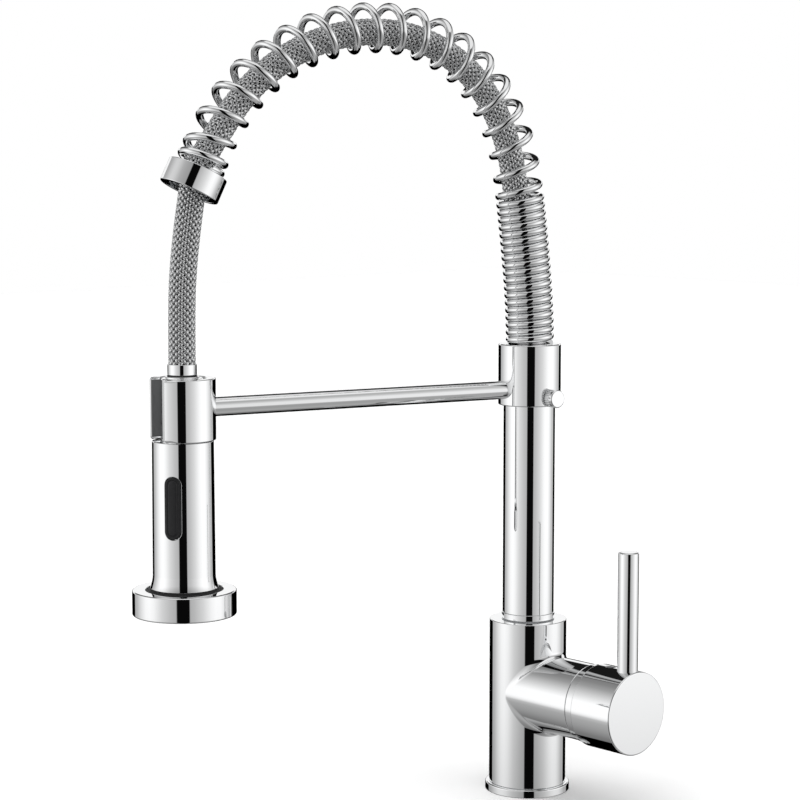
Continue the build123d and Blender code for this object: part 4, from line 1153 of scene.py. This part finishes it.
def bundle(name, length, step):
    """A straight closed strip: x along from 0 to length, y across from -1 to 1, z up to 1."""
    across_and_up = [(-1, 0.0), (-0.86, 0.5), (-0.5, 0.88), (0, 1.0), (0.5, 0.88), (0.86, 0.5),
                     (1, 0.0)]
    count = round(length / step)
    width = len(across_and_up)
    points = [(length * k / count * MM, y, z) for k in range(count + 1) for y, z in across_and_up]
    faces = []
    for k in range(count):
        for i in range(width):
            a, b = k * width + i, k * width + (i + 1) % width
            faces.append((a, b, b + width, a + width))
    faces.append(tuple(range(width)))
    faces.append(tuple(reversed(range(count * width, (count + 1) * width))))
    mesh = bpy.data.meshes.new(name)
    mesh.from_pydata(points, [], [tuple(reversed(f)) for f in faces])
    mesh.shade_smooth()
    return mesh


# %% Braid tree
def braid(name, path, length, step, way):
    """The bundles that run one way round: way is 1 or -1."""
    lay = math.radians(45)
    tree = Tree(name, Path=path, Side=SIDE.copy(), Way=way, Bundles=12, Outer_radius=HOSE_R * MM,
                Lift=0.4 * MM, Thickness=0.55 * MM, Half_width=0.88 * MM, Lay=math.tan(lay),
                Finish=BRAID)
    starts = tree.add("GeometryNodeMeshLine", {"mode": "OFFSET"}, Count=tree["Bundles"],
                      Offset=(0, 0, 0))
    number = tree.add("GeometryNodeInputIndex").outputs[0]
    marked = tree.add("GeometryNodeStoreNamedAttribute", {"data_type": "FLOAT", "domain": "POINT"},
                      Geometry=starts.outputs[0], Name="bundle", i3=number)
    copies = tree.add("GeometryNodeInstanceOnPoints", Points=marked.outputs[0],
                      Instance=tree["Geometry"])
    whole = tree.add("GeometryNodeRealizeInstances", i0=copies.outputs[0])
    rank = Flow(tree.tree, tree.add("GeometryNodeInputNamedAttribute", {"data_type": "FLOAT"},
                                    Name="bundle").outputs[0])
    spot = tree.add("ShaderNodeSeparateXYZ", i0=tree.add("GeometryNodeInputPosition").outputs[0])
    gone, wide, up = (Flow(tree.tree, spot.outputs[k]) for k in range(3))
    way = tree["Way"]
    middle_r = tree["Outer radius"] - tree["Lift"] - tree["Thickness"]
    spacing = middle_r * (2 * math.pi) / tree["Bundles"]
    straightness = (tree["Lay"] * tree["Lay"] + 1.0).math("INVERSE_SQRT")
    lean = straightness * tree["Lay"]
    axial = gone * straightness - way * wide * tree["Half width"] * lean
    around = rank * spacing + way * gone * lean + wide * tree["Half width"] * straightness
    crossed = (around + way * axial * tree["Lay"]) / spacing
    wave = ((crossed + rank + 0.5) * math.pi).math("SINE") * 1.5
    wave = wave.math("MINIMUM", 1.0).math("MAXIMUM", -1.0) * way
    radius = middle_r + wave * tree["Lift"] + up * tree["Thickness"]
    held = axial.math("MAXIMUM", 0.0).math("MINIMUM", length * MM)
    place = about_path(tree, held, around / middle_r, radius)
    woven = tree.add("GeometryNodeSetPosition", Geometry=whole.outputs[0], Position=place)
    strip = bundle(name + "_bundle", length / math.cos(lay), step)
    return tree.grow(name, strip, woven.outputs[0])


# %% Hose core
def core(name, path):
    """The dark liner under a braid: a tube along the path."""
    tree = Tree(name, Path=path, Radius=(HOSE_R - 1.25) * MM, Finish=LINER)
    line = tree.add("GeometryNodeObjectInfo", i0=tree["Path"])
    even = tree.add("GeometryNodeResampleCurve", {"mode": "LENGTH"},
                    Curve=line.outputs["Geometry"], Length=3 * MM)
    circle = tree.add("GeometryNodeCurvePrimitiveCircle", Resolution=32, Radius=tree["Radius"])
    mesh = tree.add("GeometryNodeCurveToMesh", Curve=even.outputs[0], i1=circle.outputs[0])
    mesh.inputs["Fill Caps"].default_value = True
    made = tree.grow(name, bpy.data.meshes.new(name + "_seed"), mesh.outputs[0])
    made.data.shade_smooth()
    return made


def clothe(name, path, length, step, node, start, end):
    """Both hands of the braid and the liner along a path. start and end are not used."""
    right = braid(name + "_braid_right", path, length, step, 1.0)
    left = braid(name + "_braid_left", path, length, step, -1.0)
    inside = core(name + "_core", path)
    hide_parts(node)
    for made in (right, left, inside):
        start * MM
        end * MM
        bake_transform(made)


clothe("arch", hose_path, ARCH_LENGTH, 0.8, "arch_hose",
       FLEX_START, FLEX_END)

# %% [markdown]
# ## Cap and pull hose
# The spring ends in a cup. The hose comes out of it and drops to the spray in one easy bend, so
# it is a smooth spline through a few points, straight out of the cap and straight into the
# ferrule.

# %% Cap
CAP_R, CAP_LENGTH, CAP_BORE_R = 16.8, 13.3, 14.6
cap = Lathe(CAP_TOP, CAP_WAY, SIDE)
turned("spring_cap_skin", CHROME, "spring_end", ["spring_cap"], cap,
       [(9.5, 1.5, 0), (9.5, 3.0, 0.3), (CAP_BORE_R, 3.0, 0.4), (CAP_BORE_R, CAP_LENGTH, 0.3),
        (CAP_R, CAP_LENGTH, 0.5), (CAP_R, 0, 0.5), (9.5, 0, 0.4), (9.5, 1.5, 0)][::-1], 128)

# %% Pull hose
hose_exit = CAP_TOP + CAP_WAY * 6.6
ROUTE = [(216.1, 343.0), (219.5, 314.0), (REACH, 289.0), (REACH, ferrule_top - 0.5)]
pull_places = [hose_exit] + [ARM * s + Z * z for s, z in ROUTE]
pull_path = path_object("pull_path", pull_places, smooth=True)
depsgraph = bpy.context.evaluated_depsgraph_get()
pull_line = bpy.data.meshes.new_from_object(pull_path.evaluated_get(depsgraph), depsgraph=depsgraph)
PULL_LENGTH = sum((b.co - a.co).length for a, b in zip(pull_line.vertices, pull_line.vertices[1:])) / MM
clothe("pull", pull_path, PULL_LENGTH, 0.7, "pull_hose",
       hose_exit, pull_places[-1])
print("bare hose", round(PULL_LENGTH, 1), "mm")
for helper in (arch_path, hose_path, pull_path):
    bpy.data.objects.remove(helper)

# %% [markdown]
# ## Nozzles
# Soft nozzles stand in rings through the face plate. One is turned, and Geometry Nodes stand a
# copy on each point of three circles.

# %% Nozzles
nozzle = Skin()
nozzle_outline = [(0, -0.6, 0), (0.3, -0.6, 0.1), (0.42, -1.7, 0.15), (0.8, -1.7, 0.2),
                  (1.0, 1.2, 0.1), (0, 1.2, 0)]
Lathe(Vector()).turn(nozzle, outline(nozzle_outline, 2), ring_angles(12))
nozzle_mesh = bpy.data.meshes.new("nozzle")
nozzle_mesh.from_pydata(nozzle.points, [], nozzle.faces)
nozzle_mesh.shade_smooth()
rose = Tree("nozzle_rings", Centre=(SPRAY_AXIS + Z * 129.3) * MM, Inner=12, Middle=16, Outer=20,
            Inner_radius=15.5 * MM, Middle_radius=20.0 * MM, Outer_radius=24.2 * MM, Finish=SILICONE)
joined = rose.add("GeometryNodeJoinGeometry")
for ring_name in ("Inner", "Middle", "Outer"):
    circle = rose.add("GeometryNodeMeshCircle", Vertices=rose[ring_name],
                      Radius=rose[ring_name + " radius"])
    stand = rose.add("GeometryNodeInstanceOnPoints", Points=circle.outputs[0],
                     Instance=rose["Geometry"])
    rose.tree.links.new(stand.outputs[0], joined.inputs[0])
moved = rose.add("GeometryNodeTransform", Geometry=joined.outputs[0], Translation=rose["Centre"])
nozzles = rose.grow("nozzle_tips", nozzle_mesh, moved.outputs[0])
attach(nozzles, "spray_head")
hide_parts("nozzle_pad")
